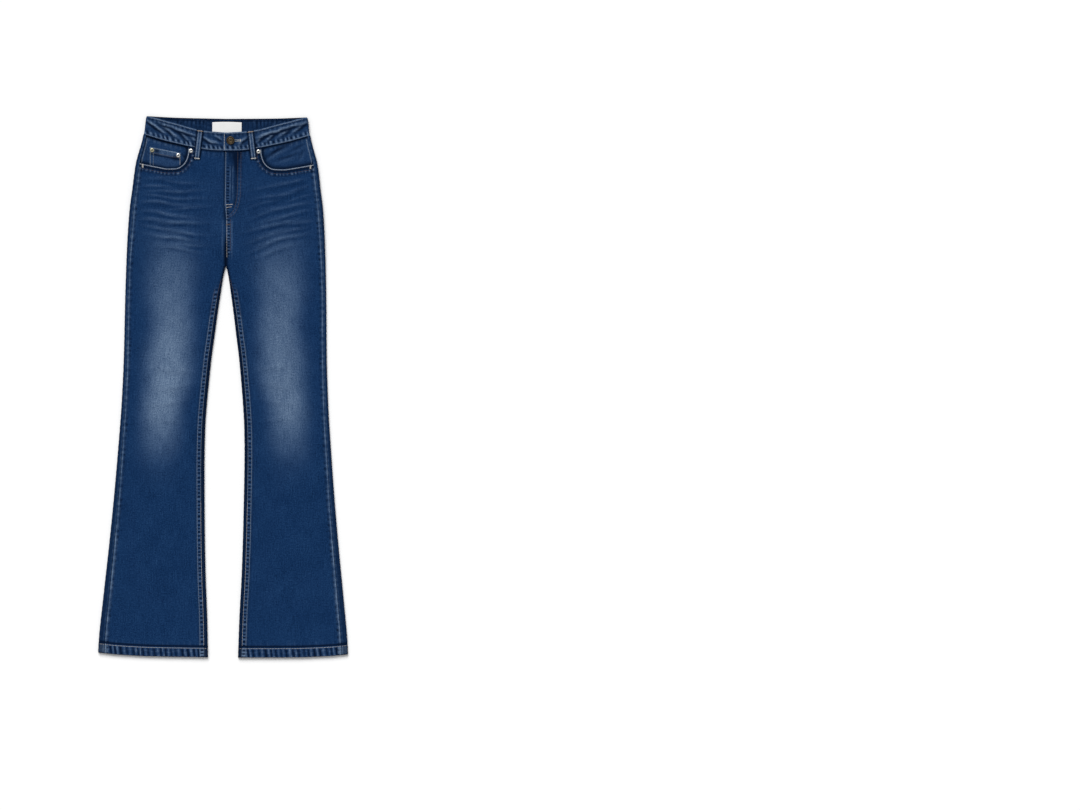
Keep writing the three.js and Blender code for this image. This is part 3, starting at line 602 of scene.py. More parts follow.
def thigh_fade(x, y):
    """How far the thigh is faded, from 0 to about 1."""
    uneven = 1 + 0.09 * wander(x * 1.8, y * 0.7, 22, 0.7) + 0.06 * wander(x * 2, y * 0.6, 11, 1.9)
    drift = 3.5 * np.sin(y / 47.0) + 2 * np.sin(y / 19.0 + 1)
    across = (np.abs(x) - fade_middle(y) + drift) / (fade_half(y) * (1 + 0.06 * np.sin(y / 31.0)))
    soft = np.exp(-np.abs(across) ** 2.6 * 0.85)
    weaker_left = np.where(x > 0, mix(0.84, 0.95, blend(60, 160, y)), 1.0)
    return fade_strength(y) * soft * uneven * weaker_left


def front_edge(y, side):
    past = FLY_EDGE if side > 0 else -FLY_UNDERLAP
    above = mix(0, past, blend(350, 385, y))
    return np.where(y <= CROTCH_Y, inner_fold(y), above)


def front_point(y, run, side):
    """A place on the front panel, from its run out from the innermost line of the leg or the fly."""
    edge = front_edge(y, side)
    low, high = low_side(y), high_side(y)
    radius = (high - low) / 2
    quarter = math.pi * radius / 2
    angle = np.minimum(run / radius, math.pi / 2)
    x = edge + radius * (1 - np.cos(angle)) + np.maximum(run - quarter, 0)
    z = high - seam_roundness(y) * radius * (1 - np.sin(angle))
    return x, z, np.sin(angle) ** 2


def front_run(y, x, side):
    """The run of a place on the front panel."""
    radius = (high_side(y) - low_side(y)) / 2
    past = x - front_edge(y, side)
    on_round = radius * np.arccos(np.clip(1 - past / radius, -1, 1))
    return np.where(past < radius, on_round, past + (math.pi / 2 - 1) * radius)


def front_share(y, x, side):
    """How far across the front panel a place is, from 0 to 1."""
    first, last = inseam_run(y) + INSEAM_GAP / 2, front_run(y, outseam_x(y), side)
    return np.clip((front_run(y, x, side) - first) / (last - first), 0, 1)


def spread(u, closeness=0.55):
    """Columns or rows that lie closer at both ends."""
    return u - closeness * np.sin(2 * math.pi * u) / (2 * math.pi)


def front_place(side):
    """Where the front panel's grid goes: its top row follows the waist seam and then the scoop."""
    scoop = SCOOPS[side]
    start = side * scoop[0, 0]
    xs = np.linspace(front_edge(495.0, side), start, 30)[:-1]
    seam = np.stack([xs, front_waist_seam(np.abs(xs)) - GAP / 2], axis=1)
    top_line = np.concatenate([seam, np.stack([side * scoop[:, 0], scoop[:, 1]], axis=1)])
    top_line[len(xs), 1] = front_waist_seam(start) - GAP / 2
    legs = np.diff(top_line, axis=0)
    runs = np.concatenate([[0], np.cumsum(np.hypot(legs[:, 0], legs[:, 1]))])
    shares = runs / runs[-1]

    def place(u, v):
        top_x, top_y = np.interp(u, shares, top_line[:, 0]), np.interp(u, shares, top_line[:, 1])
        nominal = level_rows(TOP_ROW, v)
        lift = (top_y - TOP_ROW) * blend(300, TOP_ROW, nominal)
        at_hem = 1 - blend(HEM_Y, HEM_Y + 3 * HEM_DEPTH, nominal)
        side_share = front_share(top_y, top_x, side)
        x = mix(inner_fold(nominal), outer_fold(nominal), spread(u))
        for _ in range(3):
            y = nominal + lift + (hem_y(x) - HEM_Y) * at_hem
            # columns hang straight down beside the scoop and lean out with the side seam further on
            top_share = mix(front_share(y, top_x, side), side_share, blend(95, 150, top_x))
            share = mix(spread(u), top_share, blend(330, TOP_ROW, nominal))
            run = mix(inseam_run(y) + INSEAM_GAP / 2, front_run(y, outseam_x(y), side), share)
            x, z, facing = front_point(y, run, side)
        height, fade, worn, deep = front_shape(side * x, y, side)
        return {
            "x": side * x, "y": y, "z": z + height * facing, "u": side * run, "v": y,
            "fade": fade, "worn": worn, "deep": deep,
        }

    return place


TOP_ROW = 486


def level_rows(top, v):
    """Rows down a leg, closer over the hips and the hem."""
    return np.interp(v, (0, 0.32, 0.93, 1), (top, 230, HEM_Y + 46, HEM_Y))


def back_marks(y):
    """Runs round the back panel from the side seam: fold start, fold end, inner fold start, innermost, end."""
    edge = np.where(y <= CROTCH_Y, inner_fold(y), 0)
    radius = (high_side(y) - low_side(y)) / 2
    fold = outseam_inset(y) - GAP - radius
    under = fold + math.pi * radius
    turn = under + (outer_fold(y) - radius) - (edge + radius)
    innermost = turn + math.pi * radius / 2
    end = innermost + inseam_run(y) - INSEAM_GAP / 2
    return edge, radius, fold, under, turn, innermost, end


def back_point(y, run):
    """A place on the back panel by its run from the side seam, with its outward normal."""
    edge, radius, fold, under, turn, innermost, _ = back_marks(y)
    low, high = low_side(y), high_side(y)
    middle = (low + high) / 2
    outer = outer_fold(y)
    angle = math.pi / 2 - np.clip((run - fold) / radius, 0, math.pi)
    inner_angle = np.clip((run - turn) / radius, 0, math.pi)
    roundness = np.where(y <= CROTCH_Y, 1, seam_roundness(y))
    x = np.where(run < fold, outer - radius - fold + run, outer - radius + radius * np.cos(angle))
    z = np.where(run < fold, high, middle + radius * np.sin(angle))
    nx, nz = np.where(run < fold, 0, np.cos(angle)), np.where(run < fold, 1, np.sin(angle))
    flat = (run >= under) & (run < turn)
    x = np.where(flat, outer - radius - (run - under), x)
    inner = run >= turn
    x = np.where(inner, edge + radius * (1 - np.sin(inner_angle)), x)
    z = np.where(inner, low + roundness * radius * (1 - np.cos(inner_angle)), z)
    nx = np.where(inner, -np.sin(inner_angle), nx)
    nz = np.where(inner, -np.cos(inner_angle), nz)
    past = run > turn + math.pi * radius
    x = np.where(past, edge + radius + run - turn - math.pi * radius, x)
    return x, z, nx, nz


BACK_BREAKS = {"u": (0, 0.05, 0.27, 0.78, 1), "strip": 14}


def back_columns(y, u):
    """Grid columns of a back panel, closest round the two folds."""
    _, _, fold, under, _, _, end = back_marks(y)
    stops = [np.zeros_like(y), fold, under, end - BACK_BREAKS["strip"], end]
    run = np.zeros_like(u)
    breaks = BACK_BREAKS["u"]
    for i in range(4):
        share = np.clip((u - breaks[i]) / (breaks[i + 1] - breaks[i]), 0, 1)
        run = np.where(u >= breaks[i], mix(stops[i], stops[i + 1], share), run)
    return run


def pocket_outline():
    names = ("inner_top", "inner_foot", "point", "outer_foot", "outer_top", "inner_top")
    return line([POCKET[name] for name in names])


POCKET_LINE = pocket_outline()


def back_shape(x, y, nz, side):
    """Height out of the cloth, wear and painted shade that the seams add to a back panel or yoke."""
    out = side * x
    on_top = blend(0.2, 0.9, nz)
    below = blend(0.2, 0.9, -nz)
    height, worn, deep = np.zeros_like(x), np.zeros_like(x), np.zeros_like(x)

    up = y - hem_y(out)
    hem_height, hem_worn, hem_painted_shade = hem_shape(x, up, side + 0.5, blend(0.2, 0.9, nz))
    height += on_top * hem_height - below * 0.12 * np.maximum(hem_height, 0)
    worn += hem_worn
    deep += hem_painted_shade

    outer = out - outseam_x(y)
    side_wave = ripple(y, 13, 0.9 * side)
    height += on_top * (0.2 * bell(outer, 3.2) + 0.2 * side_wave * bell(outer - 3, 6))
    height += 0.2 * side_wave * bell(nz, 0.6)
    worn += on_top * (0.34 * bell(outer - 1.4, 1.6) * (0.6 + 0.6 * side_wave) + 0.05 * patchy(x, y, 9, side))
    worn += 0.1 * bell(nz, 0.5) * (0.7 + 0.4 * side_wave)
    # painted shade on the strip beside the outseam and where the side fold turns away
    deep += on_top * (0.5 * bell(outer, 1.0) + 0.2 * blend(0, 3, outer) + 0.3 * blend(3, 6, outer)) + 0.5 * bell(nz - 0.45, 0.3)

    inner = inseam_x(y) - out
    leg = 1 - blend(236, 250, y)
    wave = ripple(y, 9.5, 0.4 * side)
    height += leg * on_top * (0.12 * wave * bell(inner, 6))
    # painted shade where the inner fold turns under and beside the inseam
    at_fold = blend(-14, -4, inner) * bell(nz - 0.35, 0.55) + on_top * blend(0, 2, inner)
    deep += leg * (0.4 * on_top * bell(inner, 1.2) + mix(0.55, 0.9, blend(-300, 100, y)) * at_fold)

    seat = below * blend(CROTCH_Y - 10, CROTCH_Y + 14, y)
    pucker = {"run": y, "spacing": 8, "seed": 0.3}
    height += seat * 0.2 * bell(x - 4, 6) * (1 + 0.6 * ripple(**pucker))
    worn += seat * (0.7 * ticks(**pucker) * bell(x - 5.6, 2.8) + 0.3 * bell(x - 1, 1.4) + 0.2 * bell(x - 10.2, 1.2))
    # painted shade between the seat seam's puckers and beside it
    deep += seat * (1.0 * dips(**pucker) * bell(x - 5.6, 2.6) + 0.5 * bell(x - 12.6, 1.6) + 0.5 * bell(x + 1, 1.2))
    up = y - yoke_seam(out)
    pucker = {"run": x, "spacing": 6.2, "seed": 0.6}
    worn += below * (0.6 * ticks(**pucker) * bell(up - 5.8, 3.2) + 0.3 * bell(up - 1, 1.2))
    # painted shade beside the yoke seam and between its puckers
    deep += below * (0.9 * dips(**pucker) * bell(up - 5.8, 3.4) + 0.5 * bell(up + 1, 1.4) + 0.4 * bell(up - 11.6, 1.4))
    away, run = nearest(POCKET_LINE, out, y)
    wave = ripple(run, 10, side)
    # painted shade round the back pocket
    deep += below * 0.45 * bell(away, 3.2) * (0.8 - 0.3 * wave)
    return height, worn, deep


def back_place(side):
    def place(u, v):
        nominal = level_rows(YOKE_ROW, v)
        y = nominal
        for _ in range(3):
            x, _, _, _ = back_point(y, back_columns(y, u))
            shift = (yoke_seam(x) - SEAM_GAP / 2 - YOKE_ROW) * blend(400, YOKE_ROW, nominal)
            hem_shift = (hem_y(x) - HEM_Y) * (1 - blend(HEM_Y, HEM_Y + 3 * HEM_DEPTH, nominal))
            y = nominal + shift + hem_shift
        return finished_back(y, back_columns(y, u), side, yoke_seam)

    return place


def finished_back(y, run, side, upper_seam):
    x, z, nx, nz = back_point(y, run)
    height, worn, deep = back_shape(side * x, y, nz, side)
    seam = np.abs(upper_seam(x) - y)
    below = blend(0.2, 0.9, -nz)
    wave = ripple(x, 10, 0.8)
    height += below * 0.14 * wave * bell(seam - 6, 6) - 0.12 * bell(seam, 1.2)
    # painted shade along the upper seam
    deep += 0.4 * bell(seam, 1.5)
    worn += below * 0.18 * np.maximum(wave, 0) * bell(seam - 5, 5)
    out = np.where(nz < -0.9, np.minimum(height, np.maximum(z - 0.05, 0)), height)
    return {
        "x": side * (x + nx * out), "y": y, "z": z + nz * out, "u": side * run, "v": y,
        "fade": 0.02 + np.zeros_like(x), "worn": worn, "deep": deep,
    }


YOKE_ROW = 490


def yoke_place(side):
    def place(u, v):
        y = np.full_like(u, float(YOKE_TOP_Y))
        for _ in range(4):
            run = back_columns(y, u)
            x, _, _, nz = back_point(y, run)
            top = mix(back_waist_seam(x), front_waist_seam(x), (nz + 1) / 2) - SEAM_GAP / 2
            y = mix(top, yoke_seam(x) + SEAM_GAP / 2, v)
        return finished_back(y, back_columns(y, u), side, back_waist_seam)

    return place


def band_lines():
    """Topstitching round the waistband's front, near both edges and at its overlap."""
    return [
        (course(lambda x: front_top_edge(x) - 2.2, -5.5, 160), "pale"),
        (course(lambda x: front_waist_seam(x) + 2.4, -5.5, 170), "pale"),
        (course(lambda x: front_top_edge(x) - 2.2, -160, -8.5), "pale"),
        (course(lambda x: front_waist_seam(x) + 2.4, -170, -8.5), "pale"),
        (line([(-4.8, 498), (-4.8, 532)]), "cream"),
    ]


def band_back_lines():
    return [
        (course(lambda x: back_top_edge(x) - 2.2, -162, 162), "pale"),
        (course(lambda x: back_waist_seam(x) + 2.4, -170, 170), "pale"),
    ]


BAND_LINES = band_lines()


def band_shape(x, y, front):
    """Height, wear and painted shade of the waistband. It pulls in slanting creases and puckers at its edges."""
    out = np.abs(x)
    top = np.where(front, front_top_edge(out), back_top_edge(out)) - y
    seam = y - np.where(front, front_waist_seam(out), back_waist_seam(out))
    pucker = {"run": x + 0.25 * y, "spacing": 10, "seed": 0.5}
    wave = ripple(**pucker)
    bent = y + 1.6 * wander(x, y, 15, 0.8)
    kept = np.where(front, 1.0, 0.45)
    creases = 1.6 * kept * ridges(BAND_CREASES, x, bent) - 0.2 + 0.45 * wander(x * 0.8, y * 2.4 - out * 0.9, 15, 0.4)
    middle = bell(top - 18, 14)
    height = 0.3 * creases * middle + 0.26 * wave * bell(seam - 6, 6) + 0.12 * ripple(x, 9, 2) * bell(top - 3, 4)
    height += -0.75 * bell(top, 0.7) - 0.5 * bell(seam, 0.8) - 0.22 * (bell(top - 2.2, 0.9) + bell(seam - 2.4, 0.9))
    mottle = patchy(x, 1.3 * y, 6, 0.9)
    worn = 0.42 * bell(top - 0.8, 1.2) + 1.1 * ticks(**pucker, power=1.3) * bell(seam - 7, 4) * (0.5 + mottle)
    worn += 0.34 * bell(seam - 3, 1.3) + 0.16 * mottle**2
    valleys = kept * ridges(BAND_CREASES, x - np.sign(x) * 1.5, bent + 4.2)
    worn += 0.75 * np.maximum(creases, 0) * middle + 0.4 * ticks(x, 9, 2, 1.3) * bell(top - 5.5, 3) * (0.4 + mottle)
    # painted shade in the crease valleys and between the lower puckers; the mottle term is uneven tone
    deep = (0.5 * np.maximum(-creases, 0) + 1.1 * valleys) * middle
    deep += 1.3 * dips(**pucker, power=1.2) * bell(seam - 7.2, 3.2) + 0.22 * (1 - mottle) ** 2
    # painted shadow beside the front belt loops
    deep += 0.95 * loop_shade(x, y) * front
    # painted shade along the waist seam, below the top edge and between the puckers there
    deep += 0.75 * bell(seam, 1.0) + 0.55 * bell(top - 4.8, 1.4) + 0.45 * dips(x, 9, 2, 1.3) * bell(top - 8, 3.5)
    inside = np.where(front, 0.0, 1.0)
    # painted shade over the inside of the back, darkest at its top edge
    deep += inside * (0.2 + 0.9 * bell(top, 2.4) + 0.5 * dips(x, 8, 1.1, 1.4) * bell(top - 12, 9))
    worn += inside * (0.22 * ticks(x, 8, 1.1, 1.5) * bell(top - 10, 6) - 0.12)
    return height, worn, deep


def band_place(u, v):
    """The waistband from its underlap round the right side, the back and the left side to its overlap."""
    radius = (BAND_HEIGHT - BAND_LIFT) / 2
    middle = (BAND_HEIGHT + BAND_LIFT) / 2
    fold = outer_fold(mix(front_waist_seam(180), front_top_edge(180), v))
    flat = fold - radius
    arc = math.pi * radius
    marks = np.cumsum([BAND_UNDERLAP + flat, arc + 0 * flat, 2 * flat, arc + 0 * flat, flat - BAND_EDGE], axis=0)
    run = u * marks[-1]
    left_angle = math.pi / 2 + (run - marks[0]) / radius
    right_angle = -math.pi / 2 + (run - marks[2]) / radius
    parts = [run < marks[0], run < marks[1], run < marks[2], run < marks[3]]
    x = np.select(
        parts,
        [BAND_UNDERLAP - run, -flat + radius * np.cos(left_angle), -flat + run - marks[1],
         flat + radius * np.cos(right_angle)],
        flat - (run - marks[3]),
    )
    top = middle + radius
    rise = top + band_rise(flat - (run - marks[3]))
    z = np.select(
        parts, [top + 0 * run, middle + radius * np.sin(left_angle), middle - radius + 0 * run,
                middle + radius * np.sin(right_angle)], rise,
    )
    nz = np.select(parts, [1 + 0 * run, np.sin(left_angle), -1 + 0 * run, np.sin(right_angle)], 1)
    nx = np.select(parts, [0 * run, np.cos(left_angle), 0 * run, np.cos(right_angle)], 0)
    out = np.abs(x)
    facing = (nz + 1) / 2
    seam = mix(back_waist_seam(out), front_waist_seam(out), facing) + SEAM_GAP / 2
    edge = mix(back_top_edge(out), front_top_edge(out), facing)
    y = mix(seam, edge, spread(v, 0.7))
    height, worn, deep = band_shape(x, y, nz > 0)
    hidden = (run < marks[0]) & (x > BAND_EDGE)
    over = run > marks[3]
    end = np.where(over, x - BAND_EDGE, 40)
    height = np.where(hidden, 0.3 * height, height) - 0.6 * bell(end, 0.8)
    worn = worn + 0.6 * bell(end - 1, 1.6)
    under = nz < 0
    height = np.where(under, np.clip(height, -0.3, 0.25), height)
    # the band lies flat round the button and takes a painted shadow there
    button = over * bell(np.hypot(x - BUTTON["x"], y - BUTTON["y"]), 9)
    height = height * (1 - button)
    return {
        "x": x + nx * height, "y": y, "z": z + nz * height, "u": y, "v": run,
        "fade": 0.06 + np.zeros_like(x), "worn": worn, "deep": deep + 0.5 * button,
    }


def facing_lines(side):
    """A row of stitches down the facing beside the side seam."""
    return [(column(lambda y: side * (outseam_x(y) - 3.2), 470, 520), "pale")]


def facing_shape(x, y, side):
    away, _ = nearest(SCOOPS[side], x, y)
    seam = front_waist_seam(side * x) - y
    wave = ripple(x, 11, side)
    creases = ridges(FACING_CREASES, x, y)
    valleys = ridges(FACING_CREASES, x + 2, y - 6)
    height = 0.14 * wander(x, y, 18, side) + 0.6 * creases + 0.12 * wave * bell(seam - 4, 5) - 0.2 * bell(seam, 2)
    height += grooves(facing_lines(side), x, y)
    # painted shade under the scoop's edge, along the waist seam and in the crease valleys, with a faint uneven tone
    deep = 1.0 * bell(away, 6.5) + 0.85 * bell(seam, 4.5) + 1.5 * valleys + 0.04 * (1 + wander(x, y, 20))
    worn = 0.3 * np.maximum(wave, 0) * bell(seam - 6, 4) + 0.4 * bell(outseam_x(y) - side * x - 3, 1.6) + 0.35 * creases
    return height, worn, deep


def facing_level(side):
    return FACING_TOP if side > 0 else FACING_TOP - PATCH_WALL - GAP


def facing_place(side):
    def place(u, v):
        y = np.full_like(u, 512.0)
        for _ in range(3):
            x = mix(FACING["inner"], outseam_x(y) + FACING["tuck"], u)
            y = mix(front_waist_seam(x) - GAP, FACING["bottom"], v)
        height, worn, deep = facing_shape(side * x, y, side)
        z = facing_level(side) + np.clip(height, -0.4, 0.22)
        return {
            "x": side * x, "y": y, "z": z, "u": side * x, "v": y, "fade": 0.07 + 0 * x, "worn": worn, "deep": deep,
        }

    return place


def coin_top(x):
    share = (-x - COIN["outer"]) / (COIN["inner"] - COIN["outer"])
    return mix(COIN["outer_top"], COIN["inner_top"], share)


def coin_lines():
    outer, inner, hem = -COIN["outer"], -COIN["inner"], COIN["hem"]
    return [
        (line([(x, coin_top(x) - 1.6) for x in np.linspace(outer + 1.5, inner - 1.5, 12)]), "pale"),
        (line([(x, coin_top(x) - hem + 0.8) for x in np.linspace(outer + 1.5, inner - 1.5, 12)]), "brown"),
        (line([(outer + 1.6, coin_top(outer) - 2), (outer + 1.6, 462)]), "pale"),
        (line([(outer + 8, coin_top(outer) - hem), (outer + 8, 460)]), "pale"),
        (line([(inner - 1.6, coin_top(inner) - 2), (inner - 1.6, 466)]), "cream"),
    ]


COIN_LINES = coin_lines()


def coin_shape(x, y):
    down = coin_top(x) - y
    side = np.minimum(x + COIN["outer"], -COIN["inner"] - x)
    wave = ripple(x, 9, 0.6)
    height = 0.5 * (1 - blend(COIN["hem"] - 0.5, COIN["hem"] + 0.9, down)) + 0.14 * wave * bell(down - 6, 6)
    height += -0.6 * bell(np.minimum(down, side), 0.8) + grooves(COIN_LINES, x, y, 0.2, 0.9)
    away, _ = nearest(SCOOPS[-1], x, y)
    worn = 0.55 * bell(down - 0.8, 1.3) + 0.3 * bell(side - 0.6, 1.3)
    worn += (0.22 + 0.35 * np.maximum(wave, 0) * patchy(x, y, 5)) * bell(down - 6, 4.5)
    worn += 0.3 * bell(down - COIN["hem"], 1.2)
    # painted shadows round the two rivets, and painted shade under the scoop and below the hem
    rivets = bell(np.hypot(x + 147, y - 495), 6) + bell(np.hypot(x + 108, y - 480), 6)
    deep = 0.9 * bell(away, 5) + 0.9 * bell(down - COIN["hem"] - 2.4, 2.0) + 0.2 * bell(down - 6, 3) + 0.7 * rivets
    return height, worn, deep


def coin_place(u, v):
    x = -mix(COIN["outer"], COIN["inner"], spread(u, 0.8))
    y = mix(coin_top(x), COIN["bottom"], spread(v, 0.6))
    height, worn, deep = coin_shape(x, y)
    # the lower part is under the front, where there is no room for a ridge
    room = np.where(y < 470, 0.22, 0.9)
    return {
        "x": x, "y": y, "z": FACING_TOP + np.minimum(height, room), "u": x, "v": y,
        "fade": 0.15 + 0 * x, "worn": worn, "deep": deep,
    }


def pocket_lines(side):
    """Double rows round a back pocket and across its hem."""
    ring = [POCKET[name] for name in ("inner_top", "inner_foot", "point", "outer_foot", "outer_top")]
    ring = line(ring)
    rows = []
    for inset, thread in ((1.8, "cream"), (7.6, "tan")):
        rows.append((beside_corners(ring, inset) * (side, 1), thread))
    top = line([POCKET["inner_top"], POCKET["outer_top"]])
    for down, thread in ((2, "cream"), (POCKET["hem"] - 1.5, "tan")):
        rows.append(((top + (0, -down) + ((1.5, 0), (-1.5, 0))) * (side, 1), thread))
    return rows


def beside_corners(points, offset):
    """A line inside another with sharp corners, to its left."""
    legs = np.diff(points, axis=0)
    ways = legs / np.hypot(legs[:, 0], legs[:, 1])[:, None]
    normals = np.stack([-ways[:, 1], ways[:, 0]], axis=1)
    result = [points[0] + offset * normals[0]]
    for i in range(1, len(points) - 1):
        half = normals[i - 1] + normals[i]
        result.append(points[i] + offset * 2 * half / (half @ half))
    result.append(points[-1] + offset * normals[-1])
    return np.array(result)


POCKET_REST = 0.25


def pocket_place(side):
    lines = pocket_lines(side)
    foot_line = line([POCKET["inner_foot"], POCKET["point"], POCKET["outer_foot"]])

    def place(u, v):
        across = spread(u, 0.8)
        down = spread(v, 0.7)
        inner = line([POCKET["inner_top"], POCKET["inner_foot"]])
        left = mix(inner[0, 0], inner[1, 0], down)
        x = mix(left, POCKET["outer_top"][0], across)
        top = mix(POCKET["inner_top"][1], POCKET["outer_top"][1], across)
        foot_x = mix(POCKET["inner_foot"][0], POCKET["outer_foot"][0], across)
        foot = np.interp(foot_x, foot_line[:, 0], foot_line[:, 1])
        y = mix(top, foot, down)
        away, run = nearest(POCKET_LINE, x, y)
        hem = top - y
        pucker = {"run": run, "spacing": 8, "seed": side}
        wave = ripple(**pucker)
        dip = -grooves(lines, side * x, y, 0.22, 1.2)
        in_hem = 1 - blend(POCKET["hem"] - 1, POCKET["hem"] + 1, hem)
        worn = 0.6 * bell(away - 0.8, 1.5) + 0.75 * ticks(**pucker) * bell(away - 5, 3.2) * (1 - 0.6 * in_hem)
        worn += 0.4 * bell(hem - 1, 1.6) + 0.3 * bell(hem - POCKET["hem"], 1.4) + 0.3 * ticks(x, 7, 1) * in_hem
        # painted shade between the puckers round the pocket and below its hem
        deep = 1.0 * dips(**pucker) * bell(away - 5, 3) * (1 - 0.6 * in_hem) + 0.25 * bell(away - 10, 1.6)
        deep += 0.5 * bell(hem - POCKET["hem"] - 2.4, 1.6) + 0.3 * dips(x, 7, 1) * in_hem
        z = POCKET_REST + dip + 0.12 * (1 + wave) * bell(away - 5, 4) * 0.5 + 0.45 * bell(away, 0.8)
        return {
            "x": side * x, "y": y, "z": np.minimum(z, 0.7), "u": side * x, "v": y,
            "fade": 0.03 + 0 * x, "worn": worn, "deep": deep,
        }

    return place


def loop_path(spec, share):
    """Middle line of a front loop: how it climbs from the panel over the waistband."""
    top_y = front_top_edge(abs(spec["top_x"])) - 0.5
    y = mix(top_y, spec["bottom_y"], share)
    x = mix(spec["top_x"], spec["bottom_x"], share)
    rise = band_rise(spec["top_x"] - LOOP_WIDTH / 2) if spec["top_x"] > 0 else 0
    seam = front_waist_seam(np.abs(x))
    under = mix(SEAT_HEIGHT, BAND_HEIGHT + rise, blend(seam - 9, seam - 0.4, y))
    return x, y, under + GAP + LOOP_WALL + 0.7 * np.sin(math.pi * share)


def loop_wear_and_shade(across, share, length):
    """Wear and painted shade of a belt loop: pale at its edges and on its two stitched ridges, with painted shade at
    its very sides, down its middle and near its ends.
    """
    edge = (0.5 - np.abs(across)) * LOOP_WIDTH
    wave = ripple(share * length, 7, 0.3)
    height = -0.6 * bell(edge, 0.7) - 0.25 * bell(edge - 2.2, 0.8) + 0.1 * wave
    spots = patchy(across * LOOP_WIDTH, share * length, 4, 0.6)
    worn = 0.05 + 0.3 * spots + 0.55 * bell(edge - 3.4, 1.0) * (0.8 + 0.3 * wave)
    # painted shade at the loop's sides and in the groove down its middle; the return adds more near its ends
    deep = 1.2 * bell(edge, 1.3) + 0.5 * bell(np.abs(across) * LOOP_WIDTH, 1.0) * (1.2 - 0.6 * spots)
    ends = np.minimum(share, 1 - share) * length
    return height - 0.8 * bell(ends, 0.9), worn + 0.35 * bell(ends - 1, 1.2), deep + 0.5 * bell(ends - 5, 1.6)


def front_loop_place(spec):
    length = 60

    def place(u, v):
        x, y, z = loop_path(spec, spread(v, 0.5))
        across = spread(u, 0.5) - 0.5
        height, worn, deep = loop_wear_and_shade(across, spread(v, 0.5), length)
        return {
            "x": x + across * LOOP_WIDTH, "y": y, "z": z + height, "u": x + across * LOOP_WIDTH, "v": y,
            "fade": 0.05 + 0 * x, "worn": worn, "deep": deep,
        }

    return place


def back_loop_place(spec):
    length = 56

    def place(u, v):
        share = spread(v, 0.5)
        across = spread(u, 0.5) - 0.5
        x = mix(spec["top_x"], spec["bottom_x"], share) + across * LOOP_WIDTH
        y = mix(spec["top_y"], spec["bottom_y"], share)
        height, worn, deep = loop_wear_and_shade(across, share, length)
        return {
            "x": x, "y": y, "z": POCKET_REST - np.minimum(height, 0.2), "u": x, "v": y,
            "fade": 0.05 + 0 * x, "worn": worn, "deep": deep,
        }

    return place


def label_place(u, v):
    x = mix(-LABEL["half"], LABEL["half"], spread(u, 0.6))
    top = LABEL["top"] - LABEL["arch"] * (x / LABEL["half"]) ** 2
    y = mix(top, LABEL["bottom"], spread(v, 0.6))
    level = BAND_LIFT + BAND_WALL + GAP + LABEL["wall"]
    edge = np.minimum(np.minimum(top - y, y - LABEL["bottom"]), LABEL["half"] - np.abs(x))
    z = level - 0.35 * bell(edge, 0.7) - 0.12 * bell(edge - 1.8, 0.6) + 0.1 * wander(x, y, 16)
    return {"x": x, "y": y, "z": z, "u": x, "v": y, "fade": 0 * x, "worn": 0 * x, "deep": 0.3 * bell(edge, 0.6)}


# Meshes

def grid_piece(name, columns, rows, place, outward, wall):
    """A cloth piece from a grid whose points a place function puts, with its cut, wear and painted shade on it."""
    bm = bmesh.new()
    bmesh.ops.create_grid(bm, x_segments=columns, y_segments=rows, size=0.5)
    at = np.array([vert.co[:2] for vert in bm.verts]) + 0.5
    made = place(at[:, 0], at[:, 1])
    places = np.stack([made["x"], made["y"], made["z"]], axis=1) * MM
    for vert, place_of_it in zip(bm.verts, places):
        vert.co = place_of_it
    bm.normal_update()
    middle = min(bm.faces, key=lambda face: (face.calc_center_median() - Vector(outward[0]) * MM).length)
    if middle.normal.dot(Vector(outward[1])) < 0:
        bmesh.ops.reverse_faces(bm, faces=bm.faces)
    mesh = bpy.data.meshes.new(name)
    bm.to_mesh(mesh)
    bm.free()
    mesh.polygons.foreach_set("use_smooth", np.ones(len(mesh.polygons), bool))
    # fade and worn are the cloth's own wear; the third attribute is painted shade
    for key in ("fade", "worn", "deep"):
        values = np.clip(made[key], 0, 1).astype(np.float32)
        mesh.attributes.new(key, "FLOAT", "POINT").data.foreach_set("value", values)
    corners = np.empty(len(mesh.loops), np.int32)
    mesh.loops.foreach_get("vertex_index", corners)
    cut = np.stack([made["u"], made["v"]], axis=1).astype(np.float32)[corners] * MM
    mesh.uv_layers.new(name="Cut").data.foreach_set("uv", cut.ravel())
    piece = bpy.data.objects.new(name, mesh)
    bpy.context.scene.collection.objects.link(piece)
    shell = piece.modifiers.new("Wall", "SOLIDIFY")
    shell.thickness = wall * MM
    shell.offset = -1
    return piece


def dressed(piece, node, slot, material, flat, area=None, rests_on=(), reverse=None):
    """Dresses a cloth piece: hides the part that it replaces and gives it its finish. The size that it was cut to is
    not used.
    """
    piece.data.materials.append(material)
    if reverse:
        piece.data.materials.append(reverse)
        piece.modifiers["Wall"].material_offset = 1
    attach(piece, ROOT)
    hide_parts(node)
    return piece


UP = (0, 0, 1)
DOWN = (0, 0, -1)

# Flat cut of each kind of piece in metres, and its area in square metres where that isn't the rectangle
CUT_SIZES = {
    "front": {"flat": (0.252, 1.07), "area": 0.195},
    "back": {"flat": (0.262, 1.07), "area": 0.2267},
    "yoke": {"flat": (0.190, 0.056), "area": 0.0075},
    "waistband": {"flat": (0.73, 0.04), "area": 0.029},
    "facing": {"flat": (0.119, 0.082), "area": 0.0077},
    "coin": {"flat": (0.0655, 0.0562), "area": 0.0033},
    "pocket": {"flat": (0.143, 0.169), "area": 0.0195},
    "front_loop": {"flat": (0.012, 0.061), "area": None},
    "back_loop": {"flat": (0.012, 0.057), "area": None},
    "label": {"flat": (0.0616, 0.0272), "area": None},
}


# Materials

